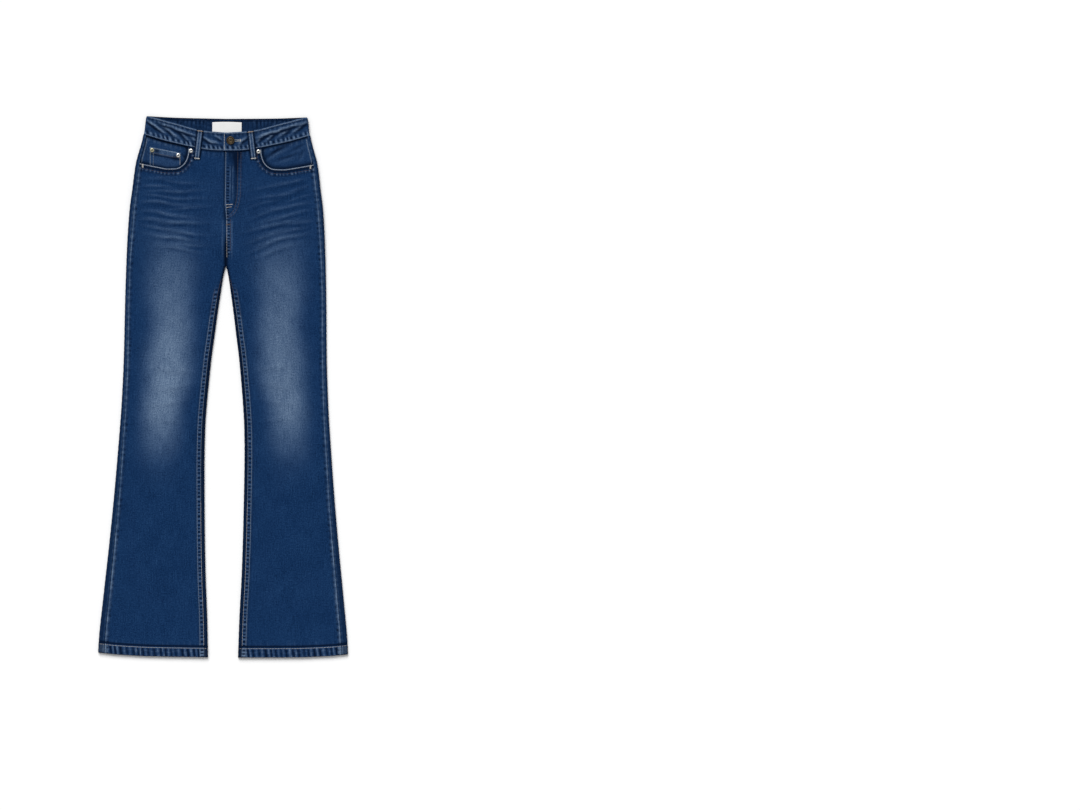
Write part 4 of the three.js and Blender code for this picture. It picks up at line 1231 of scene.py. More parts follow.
class Wire:
    """A shader socket that works in expressions: each operator adds its Math node."""

    def __init__(self, tree, socket):
        self.tree, self.socket = tree, socket

    def maths(self, operation, *values, clamp=False):
        return node(self.tree, "ShaderNodeMath", {"operation": operation, "use_clamp": clamp}, dict(enumerate(values)))

    def __add__(self, other):
        return self.maths("ADD", self, other)

    def __sub__(self, other):
        return self.maths("SUBTRACT", self, other)

    def __rsub__(self, other):
        return self.maths("SUBTRACT", other, self)

    def __mul__(self, other):
        return self.maths("MULTIPLY", self, other)

    def __pow__(self, other):
        return self.maths("POWER", self, other)

    __radd__ = __add__
    __rmul__ = __mul__

    def clamped(self):
        return self.maths("ADD", self, 0.0, clamp=True)

    def wave(self):
        return self.maths("SINE", self)


def node(tree, kind, settings=None, values=None, output=0):
    """Adds a node: its settings first, then the values or links of its sockets."""
    made = tree.nodes.new(kind)
    for key, value in (settings or {}).items():
        if key == "stops":
            ramp = made.color_ramp
            while len(ramp.elements) < len(value):
                ramp.elements.new(0.5)
            for element, (position, colour) in zip(ramp.elements, value):
                element.position, element.color = position, colour
        else:
            setattr(made, key, value)
    for key, value in (values or {}).items():
        if isinstance(value, Wire):
            tree.links.new(value.socket, made.inputs[key])
        else:
            made.inputs[key].default_value = value
    return Wire(tree, made.outputs[output])


def new_material(name, colour, roughness, metallic=0.0):
    material = bpy.data.materials.new(name)
    material.use_nodes = True
    material.diffuse_color = (*colour, 1)
    shader = material.node_tree.nodes["Principled BSDF"]
    shader.inputs["Base Color"].default_value = (*colour, 1)
    shader.inputs["Roughness"].default_value = roughness
    shader.inputs["Metallic"].default_value = metallic
    return material, material.node_tree, shader


def mixed(tree, share, first, second):
    settings = {"data_type": "RGBA"}
    return node(tree, "ShaderNodeMix", settings, {"Factor": share, "A": first, "B": second}, output="Result")


def rgba(colour):
    return (*colour, 1.0)


def denim_material(finish):
    material, tree, shader = new_material("Denim", finish.indigo, 0.9)
    cut = node(tree, "ShaderNodeUVMap", {"uv_map": "Cut"})
    split = node(tree, "ShaderNodeSeparateXYZ", values={"Vector": cut})
    across = split
    along = Wire(tree, split.socket.node.outputs["Y"])
    fade = node(tree, "ShaderNodeAttribute", {"attribute_name": "fade"}, output="Fac")
    worn = node(tree, "ShaderNodeAttribute", {"attribute_name": "worn"}, output="Fac")
    # painted shade that seams, creases, folds and edges carry
    deep = node(tree, "ShaderNodeAttribute", {"attribute_name": "deep"}, output="Fac")

    def streaks(wide, tall, detail):
        where = node(tree, "ShaderNodeCombineXYZ", values={"X": across * wide, "Y": along * tall, "Z": 0.0})
        return node(tree, "ShaderNodeTexNoise", values={"Vector": where, "Scale": 1.0, "Detail": detail})

    slub = streaks(760.0, 34.0, 4.0)
    weft = streaks(60.0, 900.0, 2.0)
    fleck = streaks(430.0, 330.0, 5.0)
    cloud = streaks(26.0, 20.0, 4.0)
    turn = 2 * math.pi / (finish.twill * MM)
    twill = (across * turn + along * turn).wave() * 0.5 + 0.5
    grain = (slub - 0.5) * 0.65 + (fleck - 0.5) * 1.1 + (weft - 0.5) * 0.4 + (twill - 0.5) * 0.34 + (cloud - 0.5) * 0.3
    # the shade colour is also the darkest fleck of the grain
    stops = [(0.0, rgba(finish.shade)), (0.5, rgba(finish.indigo)), (1.0, rgba(finish.light))]
    cloth = node(tree, "ShaderNodeValToRGB", {"stops": stops}, {"Fac": (grain + 0.5).clamped()})
    pale = fade * 0.78 + worn * (slub * 0.9 + 0.4) * 0.98
    share = (pale * (grain * 2.0 + 1.0)).clamped()
    rubbed = mixed(tree, (share * 3.0).clamped() * 0.6, cloth, rgba(finish.light))
    blue = mixed(tree, share ** 1.4, rubbed, rgba(finish.faded))
    # painted shade: the colour darkens towards the shade colour
    dark = (deep * (1.4 - slub * 0.5)).clamped()
    colour = mixed(tree, dark, blue, rgba(finish.shade))
    tree.links.new(colour.socket, shader.inputs["Base Color"])
    rough = 0.94 - share * 0.08
    tree.links.new(rough.socket, shader.inputs["Roughness"])
    bump = node(
        tree, "ShaderNodeBump",
        values={"Strength": 0.6, "Distance": 0.0003, "Height": twill * 0.5 + slub * 0.8 + fleck * 0.5 + weft * 0.3},
    )
    tree.links.new(bump.socket, shader.inputs["Normal"])
    shader.inputs["Specular IOR Level"].default_value = 0.05
    return material


def reverse_material(finish):
    """The inside of the cloth, where the undyed weft shows."""
    material, tree, shader = new_material("Denim_reverse", finish.reverse, 0.92)
    cut = node(tree, "ShaderNodeUVMap", {"uv_map": "Cut"})
    split = node(tree, "ShaderNodeSeparateXYZ", values={"Vector": cut})
    along = Wire(tree, split.socket.node.outputs["Y"])
    where = node(tree, "ShaderNodeCombineXYZ", values={"X": split * 620.0, "Y": along * 90.0, "Z": 0.0})
    slub = node(tree, "ShaderNodeTexNoise", values={"Vector": where, "Scale": 1.0, "Detail": 3.0})
    turn = 2 * math.pi / (finish.twill * MM)
    twill = (split * turn - along * turn).wave() * 0.5 + 0.5
    share = ((twill - 0.5) * 0.5 + (slub - 0.5) * 1.2 + 0.35).clamped()
    tone = mixed(tree, share, rgba(finish.reverse), rgba(finish.indigo))
    tree.links.new(tone.socket, shader.inputs["Base Color"])
    bump = node(tree, "ShaderNodeBump", values={"Strength": 0.5, "Distance": 0.0003, "Height": twill * 0.6 + slub})
    tree.links.new(bump.socket, shader.inputs["Normal"])
    shader.inputs["Specular IOR Level"].default_value = 0.05
    return material


def thread_material(name, colour):
    material, tree, shader = new_material(name, colour, 0.7)
    where = node(tree, "ShaderNodeTexCoord", output="Object")
    patches = node(tree, "ShaderNodeTexNoise", values={"Vector": where, "Scale": 260.0, "Detail": 2.0})
    darker = tuple(0.55 * part for part in colour)
    tone = mixed(tree, (patches * 1.6 - 0.3).clamped(), rgba(darker), rgba(colour))
    tree.links.new(tone.socket, shader.inputs["Base Color"])
    ply = node(
        tree, "ShaderNodeTexWave", {"bands_direction": "DIAGONAL"},
        {"Vector": where, "Scale": 900.0, "Distortion": 0.5},
    )
    bump = node(tree, "ShaderNodeBump", values={"Strength": 0.4, "Distance": 0.0001, "Height": ply})
    tree.links.new(bump.socket, shader.inputs["Normal"])
    shader.inputs["Specular IOR Level"].default_value = 0.25
    return material


def label_material(finish):
    material, tree, shader = new_material("White_label", finish.label, 0.6)
    where = node(tree, "ShaderNodeTexCoord", output="Object")
    split = node(tree, "ShaderNodeSeparateXYZ", values={"Vector": where})
    down = Wire(tree, split.socket.node.outputs["Y"])
    threads = (split * 9000.0).wave() * 0.5 + (down * 5200.0).wave() * 0.5
    soft = node(tree, "ShaderNodeTexNoise", values={"Vector": where, "Scale": 90.0, "Detail": 3.0})
    shade = tuple(0.86 * part for part in finish.label)
    tone = mixed(tree, (soft * 0.9 + threads * 0.06).clamped(), rgba(shade), rgba(finish.label))
    tree.links.new(tone.socket, shader.inputs["Base Color"])
    bump = node(tree, "ShaderNodeBump", values={"Strength": 0.35, "Distance": 0.0001, "Height": threads})
    tree.links.new(bump.socket, shader.inputs["Normal"])
    return material


def metal_material(name, colour, tarnish, roughness):
    material, tree, shader = new_material(name, colour, roughness, 1.0)
    where = node(tree, "ShaderNodeTexCoord", output="Object")
    spots = node(tree, "ShaderNodeTexNoise", values={"Vector": where, "Scale": 420.0, "Detail": 5.0})
    share = (spots * 2.4 - 0.75).clamped()
    # painted shade: the hollows of the button and the rivets darken almost to black
    hollow_painted_shade = node(tree, "ShaderNodeAttribute", {"attribute_name": "deep"}, output="Fac")
    metal = mixed(tree, share, rgba(colour), rgba(tarnish))
    tone = mixed(tree, hollow_painted_shade, metal, rgba((0.012, 0.011, 0.010)))
    tree.links.new(tone.socket, shader.inputs["Base Color"])
    tree.links.new((share * 0.25 + roughness).socket, shader.inputs["Roughness"])
    fine = node(tree, "ShaderNodeTexNoise", values={"Vector": where, "Scale": 1800.0, "Detail": 3.0})
    bump = node(tree, "ShaderNodeBump", values={"Strength": 0.15, "Distance": 0.0001, "Height": fine})
    tree.links.new(bump.socket, shader.inputs["Normal"])
    return material


def shared_material(name, make):
    return bpy.data.materials.get(name) or make()


def denim(context):
    return shared_material("Denim", lambda: denim_material(context.scene.jeans_finish))


def denim_reverse(context):
    return shared_material("Denim_reverse", lambda: reverse_material(context.scene.jeans_finish))


# Stitches

def joined_stitches(name, stitches, material):
    """All the stitches of one thread as one mesh. A stitch is a place, a direction, an up and three sizes."""
    lying = Matrix.Rotation(math.pi / 2, 4, "Y")
    bm, mesh = bmesh.new(), bpy.data.meshes.new(name)
    # an operator takes as long as its mesh is large, so a few stitches are made at a time
    for first in range(0, len(stitches), 30):
        few = bmesh.new()
        for centre, way, up, sizes in stitches[first:first + 30]:
            x_axis = Vector(way).normalized()
            y_axis = Vector(up).cross(x_axis).normalized()
            axes = Matrix((x_axis, y_axis, x_axis.cross(y_axis))).transposed().to_4x4()
            place = Matrix.Scale(MM, 4) @ Matrix.Translation(centre) @ axes @ Matrix.Diagonal((*sizes, 1))
            bmesh.ops.create_uvsphere(few, u_segments=6, v_segments=4, radius=0.5, matrix=place @ lying)
        few.to_mesh(mesh)
        few.free()
        bm.from_mesh(mesh)
    bm.to_mesh(mesh)
    bm.free()
    mesh.polygons.foreach_set("use_smooth", np.ones(len(mesh.polygons), bool))
    piece = bpy.data.objects.new(name, mesh)
    bpy.context.scene.collection.objects.link(piece)
    mesh.materials.append(material)
    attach(piece, ROOT)
    return piece


def sewn(points, surface, sizes, down=False):
    """Stitches along a line on a surface, each a little sunk into the cloth."""
    length = sizes.stitch
    middles, ways, _ = spaced(points, length)
    middles, ways = (middles[:-1] + middles[1:]) / 2, np.diff(middles, axis=0)
    ways = ways / np.hypot(ways[:, 0], ways[:, 1])[:, None]
    half = 0.36 * length
    ends = [middles - half * ways, middles + half * ways]
    heights = [surface(end[:, 0], end[:, 1]) for end in ends]
    stitches = []
    up = np.array([0, 0, -1.0 if down else 1.0])
    for i, (middle, way) in enumerate(zip(middles, ways)):
        slope = heights[1][i] - heights[0][i]
        direction = np.array([way[0] * 2 * half, way[1] * 2 * half, slope])
        height = (heights[0][i] + heights[1][i]) / 2 + (0.0 if down else 0.06)
        centre = np.array([middle[0], middle[1], height])
        stitches.append((centre, direction, up, np.array([0.86 * length, sizes.thread, 0.8 * sizes.thread])))
    return stitches


def bar_tack(x, y, turn, length, surface, sizes, width=2.2, down=False):
    """A dense bar of short stitches across its own length."""
    angle = math.radians(turn)
    along = np.array([math.cos(angle), math.sin(angle)])
    across = np.array([-along[1], along[0]])
    count = int(length / 0.46)
    stitches = []
    up = np.array([0, 0, -1.0 if down else 1.0])
    for i in range(count):
        middle = np.array([x, y]) + along * (i / (count - 1) - 0.5) * length
        slant = across + 0.16 * along * (1 if i % 2 else -1)
        level = float(surface(middle[:1], middle[1:])[0]) + (-0.04 if down else 0.2)
        sizes_of_it = np.array([width, 0.6, 0.55])
        stitches.append((np.array([*middle, level]), np.array([*slant, 0]), up, sizes_of_it))
    return stitches


def front_surface(side):
    def surface(x, y):
        x, y = np.asarray(x, float), np.asarray(y, float)
        run = front_run(y, side * x, side)
        _, z, _ = front_point(y, run, side)
        return z + front_shape(x, y, side)[0]

    return surface


def band_surface(x, y):
    x, y = np.asarray(x, float), np.asarray(y, float)
    rise = np.where(x > BAND_EDGE, band_rise(x), 0)
    return BAND_HEIGHT + rise + band_shape(x, y, np.full(x.shape, True))[0]


def band_under_surface(x, y):
    height = band_shape(np.asarray(x, float), np.asarray(y, float), np.full(np.shape(x), False))[0]
    return BAND_LIFT - np.clip(height, -0.3, 0.25)


def top_strip_surface(side):
    """The strips of the back panel that show on top, beyond the front's side and inside seams."""
    def surface(x, y):
        x, y = np.asarray(x, float), np.asarray(y, float)
        return high_side(y) + back_shape(x, y, np.full(x.shape, 1.0), side)[0]

    return surface


def seat_surface(side):
    def surface(x, y):
        x, y = np.asarray(x, float), np.asarray(y, float)
        height, _, _ = back_shape(x, y, np.full(x.shape, -1.0), side)
        return low_side(y) - np.minimum(height, low_side(y))

    return surface


def loop_surface(spec):
    def surface(x, y):
        top_y = front_top_edge(abs(spec["top_x"])) - 0.5
        share = np.clip((np.asarray(y, float) - top_y) / (spec["bottom_y"] - top_y), 0, 1)
        _, _, z = loop_path(spec, share)
        return z - 0.1

    return surface


def flat_surface(level):
    return lambda x, y: np.full(np.shape(x), float(level))


THREADS = ("cream", "pale", "brown", "tan")


def front_threads(sizes):
    """Stitches of the front, sorted by thread."""
    found = {thread: [] for thread in THREADS}
    for side in SIDES.values():
        for points, thread in FRONT_LINES[side]:
            found[thread] += sewn(points, front_surface(side), sizes)
        for points, thread in facing_lines(side):
            found[thread] += sewn(points, facing_surface(side), sizes)
        found["cream"] += bar_tack(side * 176.2, 463.2, 82 * side, 7, front_surface(side), sizes, 4.5)
        inner, outer = inner_fold(HEM_Y), outer_fold(HEM_Y)
        for low, high in ((inner + 3, inner + 6.5), (outer - 13.4, outer - 3)):
            xs = np.linspace(low, high, 6)
            strip = np.stack([side * xs, hem_y(xs) + 18.6], axis=1)
            found["cream"] += sewn(strip, top_strip_surface(side), sizes)
    for points, thread in BAND_LINES:
        found[thread] += sewn(points, band_surface, sizes)
    for points, thread in COIN_LINES:
        found[thread] += sewn(points, lambda x, y: FACING_TOP + coin_shape(x, y)[0], sizes)
    found["cream"] += bar_tack(6.5, 383, 4, 13, front_surface(1), sizes, 1.3)
    found["cream"] += bar_tack(5.5, 377.5, 10, 11, front_surface(1), sizes, 1.1)
    found["brown"] += bar_tack(4, 341, 5, 9, front_surface(1), sizes)
    for spec in FRONT_LOOPS.values():
        surface = loop_surface(spec)
        top_y = front_top_edge(abs(spec["top_x"]))
        for across in (-0.26, 0.26):
            wide = across * LOOP_WIDTH
            ends = [(spec["top_x"] + wide, top_y - 2), (spec["bottom_x"] + wide, spec["bottom_y"] + 2)]
            found["pale"] += sewn(line(ends), surface, sizes)
        tilt = math.degrees(math.atan2(spec["top_x"] - spec["bottom_x"], top_y - spec["bottom_y"]))
        for share in (0.03, 0.96):
            x, y, _ = loop_path(spec, share)
            found["tan" if share < 0.5 else "cream"] += bar_tack(x, y, -tilt, 10.5, surface, sizes)
    return found


def facing_surface(side):
    def surface(x, y):
        height = facing_shape(np.asarray(x, float), np.asarray(y, float), side)[0]
        return facing_level(side) + np.clip(height, -0.4, 0.22)

    return surface


def back_threads(sizes):
    """Stitches of the back, which faces down. They stay above the surface that the jeans lie on."""
    found = {thread: [] for thread in THREADS}
    for points, thread in band_back_lines():
        found[thread] += sewn(points, band_under_surface, sizes, down=True)
    for side in SIDES.values():
        seat = seat_surface(side)
        for rise, thread in ((1.8, "cream"), (9.8, "tan")):
            points = course(lambda x: yoke_seam(x) + rise, 3 * side, 172 * side)
            found[thread] += sewn(points, seat, sizes, down=True)
        for points, thread in pocket_lines(side):
            found[thread] += sewn(points, flat_surface(POCKET_REST + 0.2), sizes, down=True)
        for name, turn in (("inner_top", 0), ("outer_top", 0)):
            x, y = POCKET[name]
            inwards = 5 if name == "inner_top" else -5
            found["tan"] += bar_tack(
                side * (x + inwards), y - 4.6, turn, 9, flat_surface(POCKET_REST + 0.1), sizes, 6.5, down=True
            )
        xs = np.linspace(inner_fold(HEM_Y) + 6, outer_fold(HEM_Y) - 6, 40)
        found["pale"] += sewn(
            np.stack([side * xs, hem_y(xs) + 18.6], axis=1), flat_surface(0.37), sizes, down=True
        )
    for x, thread in ((1.6, "cream"), (9.6, "tan")):
        found[thread] += sewn(line([(x, 468 + x), (x, 270)]), seat_surface(1), sizes, down=True)
    for spec in BACK_LOOPS.values():
        for across in (-0.32, 0.32):
            ends = [(spec["top_x"] + across * LOOP_WIDTH, spec["top_y"] - 2), (spec["bottom_x"] + across * LOOP_WIDTH, spec["bottom_y"] + 2)]
            found["pale"] += sewn(line(ends), flat_surface(POCKET_REST + 0.2), sizes, down=True)
        for key in ("top", "bottom"):
            y = spec[key + "_y"] + (-1.6 if key == "top" else 1.8)
            found["pale"] += bar_tack(spec[key + "_x"], y, 0, 10.5, flat_surface(POCKET_REST + 0.1), sizes, down=True)
    return found


def buttonhole_threads(sizes):
    """Close stitches round the buttonhole's slit, seen past the button."""
    up = np.array([0, 0, 1.0])

    def bead(x, y, way, length, lift=0.2):
        level = float(band_surface(np.array([x]), np.array([y]))[0]) + lift
        return np.array([x, y, level]), np.array([*way, 0.0]), up, np.array([length, 0.7, 0.6])

    places = np.linspace(BUTTON["x"] + 4, BUTTON["hole_end"] - 1, 22)
    edge = [bead(x, BUTTON["y"] + way * 1.5, (0.12, 1), 2.2) for x in places for way in (-1, 1)]
    end = [bead(BUTTON["hole_end"] + 0.6, BUTTON["y"] + (i - 2.5) * 0.75, (1, 0.05), 2.6, 0.3) for i in range(6)]
    loose = np.linspace((BUTTON["hole_end"] - 8, BUTTON["y"] - 1.5), (BUTTON["hole_end"] + 1, BUTTON["y"] + 2.5), 7)
    end += [bead(x, y, (9, 4), 2.0, 0.75) for x, y in loose]
    return edge, end


# Settings that a user would change

class JeansFinish(bpy.types.PropertyGroup):
    """Colours of the cloth, the threads and the label, and the twill's pitch."""

    indigo: FloatVectorProperty(
        name="Indigo", description="Unworn denim", subtype="COLOR", size=3, default=(0.0040, 0.0246, 0.0850),
    )
    light: FloatVectorProperty(
        name="Light", description="Pale flecks of unworn denim", subtype="COLOR", size=3,
        default=(0.0190, 0.0600, 0.1500),
    )
    faded: FloatVectorProperty(
        name="Faded", description="Denim worn pale", subtype="COLOR", size=3, default=(0.150, 0.219, 0.325),
    )
    # painted shade: seams, creases, folds and edges darken towards this colour; it is also the darkest fleck of the
    # grain
    shade: FloatVectorProperty(
        name="Shade", description="Denim in the valleys of seams", subtype="COLOR", size=3,
        default=(0.0010, 0.0064, 0.0240),
    )
    reverse: FloatVectorProperty(
        name="Reverse", description="Inside of the cloth", subtype="COLOR", size=3, default=(0.30, 0.37, 0.46),
    )
    cream_thread: FloatVectorProperty(
        name="Cream thread", description="Brightest topstitching", subtype="COLOR", size=3,
        default=(0.58, 0.56, 0.52),
    )
    pale_thread: FloatVectorProperty(
        name="Pale thread", description="Blue-grey topstitching", subtype="COLOR", size=3,
        default=(0.26, 0.31, 0.36),
    )
    brown_thread: FloatVectorProperty(
        name="Brown thread", description="Brown topstitching", subtype="COLOR", size=3,
        default=(0.098, 0.072, 0.062),
    )
    tan_thread: FloatVectorProperty(
        name="Tan thread", description="Tan topstitching", subtype="COLOR", size=3, default=(0.36, 0.25, 0.14),
    )
    white_thread: FloatVectorProperty(
        name="White thread", description="Buttonhole thread", subtype="COLOR", size=3, default=(0.62, 0.62, 0.62),
    )
    label: FloatVectorProperty(
        name="Label", description="Woven label", subtype="COLOR", size=3, default=(0.80, 0.80, 0.79),
    )
    twill: FloatProperty(
        name="Twill pitch", description="Distance between twill lines, in millimetres", default=1.2, min=0.5, max=4,
    )


class JeansSizes(bpy.types.PropertyGroup):
    """Sizes of the sewing, in millimetres."""

    stitch: FloatProperty(name="Stitch", description="Length of one stitch and its gap", default=3.3, min=1.5, max=6)
    thread: FloatProperty(name="Thread", description="Thickness of the topstitching", default=0.85, min=0.2, max=1.5)


class JeansStage(bpy.types.PropertyGroup):
    """Camera and floor."""

    lens: FloatProperty(name="Lens", description="Focal length", default=200, min=50, max=400, unit="CAMERA")
    pixel: FloatProperty(name="Pixel", description="Millimetres to one pixel of the picture", default=2.1)
    roll: FloatProperty(
        name="Roll", description="Turn of the camera about its own line of sight", subtype="ANGLE",
        default=math.radians(0.44),
    )
    floor: FloatVectorProperty(
        name="Floor", description="Colour of the floor", subtype="COLOR", size=3, default=(0.92, 0.92, 0.92),
    )


# Operators

class JEANS_OT_fronts(bpy.types.Operator):
    """Dresses both front panels, with their scoops, fly, folds and fades"""

    bl_idname = "jeans.fronts"
    bl_label = "Front panels"

    def execute(self, context):
        for name, side in SIDES.items():
            columns, rows = 96, 500
            piece = grid_piece(
                f"jeans_front_{name}", columns, rows, front_place(side), ((side * 130, 100, 6), UP), DENIM
            )
            rests_on = [f"back_{name}", f"pocket_facing_{name}"]
            dressed(
                piece, f"front_{name}", "denim", denim(context), **CUT_SIZES["front"], rests_on=rests_on,
                reverse=denim_reverse(context),
            )
        return {"FINISHED"}


class JEANS_OT_backs(bpy.types.Operator):
    """Dresses both back panels and yokes, which wrap round the folds"""

    bl_idname = "jeans.backs"
    bl_label = "Back panels and yokes"

    def execute(self, context):
        for name, side in SIDES.items():
            back = grid_piece(
                f"jeans_back_{name}", 74, 420, back_place(side), ((side * 130, 100, 0), DOWN), DENIM
            )
            dressed(
                back, f"back_{name}", "denim", denim(context), **CUT_SIZES["back"], reverse=denim_reverse(context)
            )
            yoke = grid_piece(
                f"jeans_yoke_{name}", 150, 22, yoke_place(side), ((side * 90, 506, 2), DOWN), DENIM
            )
            dressed(yoke, f"yoke_{name}", "denim", denim(context), **CUT_SIZES["yoke"])
        return {"FINISHED"}


class JEANS_OT_waistband(bpy.types.Operator):
    """Dresses the waistband"""

    bl_idname = "jeans.waistband"
    bl_label = "Waistband"

    def execute(self, context):
        band = grid_piece("jeans_waistband", 330, 24, band_place, ((100, 530, 8), UP), BAND_WALL)
        dressed(band, "waistband", "denim", denim(context), **CUT_SIZES["waistband"])
        return {"FINISHED"}


class JEANS_OT_pockets(bpy.types.Operator):
    """Dresses the pocket facings, the coin pocket and the back pockets"""

    bl_idname = "jeans.pockets"
    bl_label = "Pockets"

    def execute(self, context):
        for name, side in SIDES.items():
            facing = grid_piece(
                f"jeans_pocket_facing_{name}", 48, 34, facing_place(side), ((side * 120, 480, 6), UP), DENIM
            )
            dressed(
                facing, f"pocket_facing_{name}", "denim", denim(context), **CUT_SIZES["facing"],
                rests_on=[f"back_{name}"],
            )
            pocket = grid_piece(
                f"jeans_back_pocket_{name}", 72, 80, pocket_place(side), ((side * 110, 380, 0), DOWN), 0.9
            )
            dressed(pocket, f"back_pocket_{name}", "denim", denim(context), **CUT_SIZES["pocket"])
        coin = grid_piece("jeans_coin_pocket", 44, 36, coin_place, ((-130, 475, 6), UP), 1.0)
        dressed(coin, "coin_pocket", "denim", denim(context), **CUT_SIZES["coin"], rests_on=["pocket_facing_right"])
        return {"FINISHED"}


class JEANS_OT_loops(bpy.types.Operator):
    """Dresses the five belt loops"""

    bl_idname = "jeans.loops"
    bl_label = "Belt loops"

    def execute(self, context):
        for name, spec in FRONT_LOOPS.items():
            middle = (spec["bottom_x"], 500, 10)
            loop = grid_piece(f"jeans_{name}", 16, 56, front_loop_place(spec), (middle, UP), 1.3)
            dressed(loop, name, "denim", denim(context), **CUT_SIZES["front_loop"], rests_on=["waistband"])
        for name, spec in BACK_LOOPS.items():
            middle = (spec["bottom_x"], 540, 0)
            loop = grid_piece(f"jeans_{name}", 16, 52, back_loop_place(spec), (middle, DOWN), 1.2)
            dressed(loop, name, "denim", denim(context), **CUT_SIZES["back_loop"])
        return {"FINISHED"}


class JEANS_OT_label(bpy.types.Operator):
    """Makes the plain white label inside the back of the waistband"""

    bl_idname = "jeans.label"
    bl_label = "Label"

    def execute(self, context):
        label = grid_piece("jeans_label", 40, 22, label_place, ((0, 545, 5), UP), 0.6)
        material = shared_material("White_label", lambda: label_material(context.scene.jeans_finish))
        dressed(label, "label", "label", material, **CUT_SIZES["label"], rests_on=["waistband"])
        return {"FINISHED"}


def lathed(name, profile, x, y, level, steps, hollows):
    """A metal piece spun from a profile of radius and height, with painted shade in its hollows, standing on a level.
    """
    bm = bmesh.new()
    verts = [bm.verts.new((radius, 0, height)) for radius, height in profile]
    edges = [bm.edges.new(pair) for pair in zip(verts, verts[1:])]
    bmesh.ops.spin(
        bm, geom=verts + edges, cent=(0, 0, 0), axis=(0, 0, 1), angle=2 * math.pi, steps=steps, use_merge=True
    )
    bmesh.ops.remove_doubles(bm, verts=bm.verts, dist=1e-4)
    bmesh.ops.recalc_face_normals(bm, faces=bm.faces)
    bmesh.ops.transform(bm, matrix=Matrix.Translation((x, y, level)), verts=bm.verts)
    bmesh.ops.scale(bm, vec=(MM, MM, MM), verts=bm.verts)
    mesh = bpy.data.meshes.new(name)
    bm.to_mesh(mesh)
    bm.free()
    mesh.polygons.foreach_set("use_smooth", np.ones(len(mesh.polygons), bool))
    places = np.array([vert.co[:2] for vert in mesh.vertices]) / MM - (x, y)
    radius = np.hypot(places[:, 0], places[:, 1])
    # painted shade over the rings of radii that the hollows give
    dark = sum(blend(low - 0.25, low, radius) * (1 - blend(high, high + 0.25, radius)) for low, high in hollows)
    mesh.attributes.new("deep", "FLOAT", "POINT").data.foreach_set("value", dark.astype(np.float32))
    piece = bpy.data.objects.new(name, mesh)
    bpy.context.scene.collection.objects.link(piece)
    return piece


def rounded(corners, radius, steps=4):
    """A profile with each inner corner rounded off."""
    points = [corners[0]]
    for before, corner, after in zip(corners, corners[1:], corners[2:]):
        corner = Vector(corner)
        back, on = Vector(before) - corner, Vector(after) - corner
        reach = min(radius, 0.45 * back.length, 0.45 * on.length)
        start, end = corner + back.normalized() * reach, corner + on.normalized() * reach
        for i in range(steps + 1):
            t = i / steps
            points.append(tuple(start * (1 - t) ** 2 + corner * 2 * t * (1 - t) + end * t * t))
    points.append(corners[-1])
    return points


METALS = {
    "nickel": {"colour": (0.72, 0.72, 0.70), "tarnish": (0.50, 0.50, 0.48), "roughness": 0.22},
    "pale_brass": {"colour": (0.50, 0.47, 0.33), "tarnish": (0.13, 0.13, 0.075), "roughness": 0.34},
    "antique_brass": {"colour": (0.135, 0.098, 0.055), "tarnish": (0.035, 0.028, 0.020), "roughness": 0.38},
}


class JEANS_OT_metalware(bpy.types.Operator):
    """Makes the button and the four rivets"""

    bl_idname = "jeans.metalware"
    bl_label = "Button and rivets"

    def execute(self, context):
        level = BAND_HEIGHT + OVERLAP_RISE + GAP
        radius, shank, height = BUTTON["radius"], BUTTON["shank"], BUTTON["height"]
        corners = [
            (0, -OVERLAP_RISE), (shank, -OVERLAP_RISE), (shank, 0.1), (radius * 0.82, 0), (radius * 0.97, 0.5),
            (radius, 1.2), (radius * 0.97, 2.1), (radius * 0.9, height - 0.3), (radius * 0.8, height - 0.1),
            (radius * 0.72, height - 0.9), (radius * 0.55, height - 1.0), (radius * 0.5, height - 0.75),
            (radius * 0.4, height - 0.75), (radius * 0.34, height - 1.0), (0, height - 0.9),
        ]
        # the button's middle and its groove get painted shade
        grooves_of_it = [(0, 1.2), (radius * 0.66, radius * 0.76)]
        button = lathed("jeans_button", rounded(corners, 0.5), BUTTON["x"], BUTTON["y"], level, 64, grooves_of_it)
        self.finish(button, "button", "antique_brass", "button_metal")
        for name, spec in RIVETS.items():
            wide = RIVET_RADIUS
            corners = [
                (0, 0), (wide * 0.9, 0), (wide, 0.3), (wide * 0.97, 0.7), (wide * 0.8, 1.15), (wide * 0.58, 1.4),
                (wide * 0.4, 1.3), (wide * 0.3, 0.6), (wide * 0.18, 0.5), (wide * 0.1, 0.85), (0, 0.9),
            ]
            # the rivet's hollow gets painted shade
            hollows = [(0.65, wide * 0.34)]
            rivet = lathed(
                f"jeans_{name}", rounded(corners, 0.3), spec["x"], spec["y"], spec["level"] + GAP, 40, hollows
            )
            slot = "rivet_metal" if spec["metal"] == "nickel" else "coin_rivet_metal"
            self.finish(rivet, name, spec["metal"], slot)
        return {"FINISHED"}

    def finish(self, piece, node_name, metal, slot):
        material = shared_material(metal.capitalize(), lambda: metal_material(metal.capitalize(), **METALS[metal]))
        piece.data.materials.append(material)
        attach(piece, ROOT)
        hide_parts(node_name)


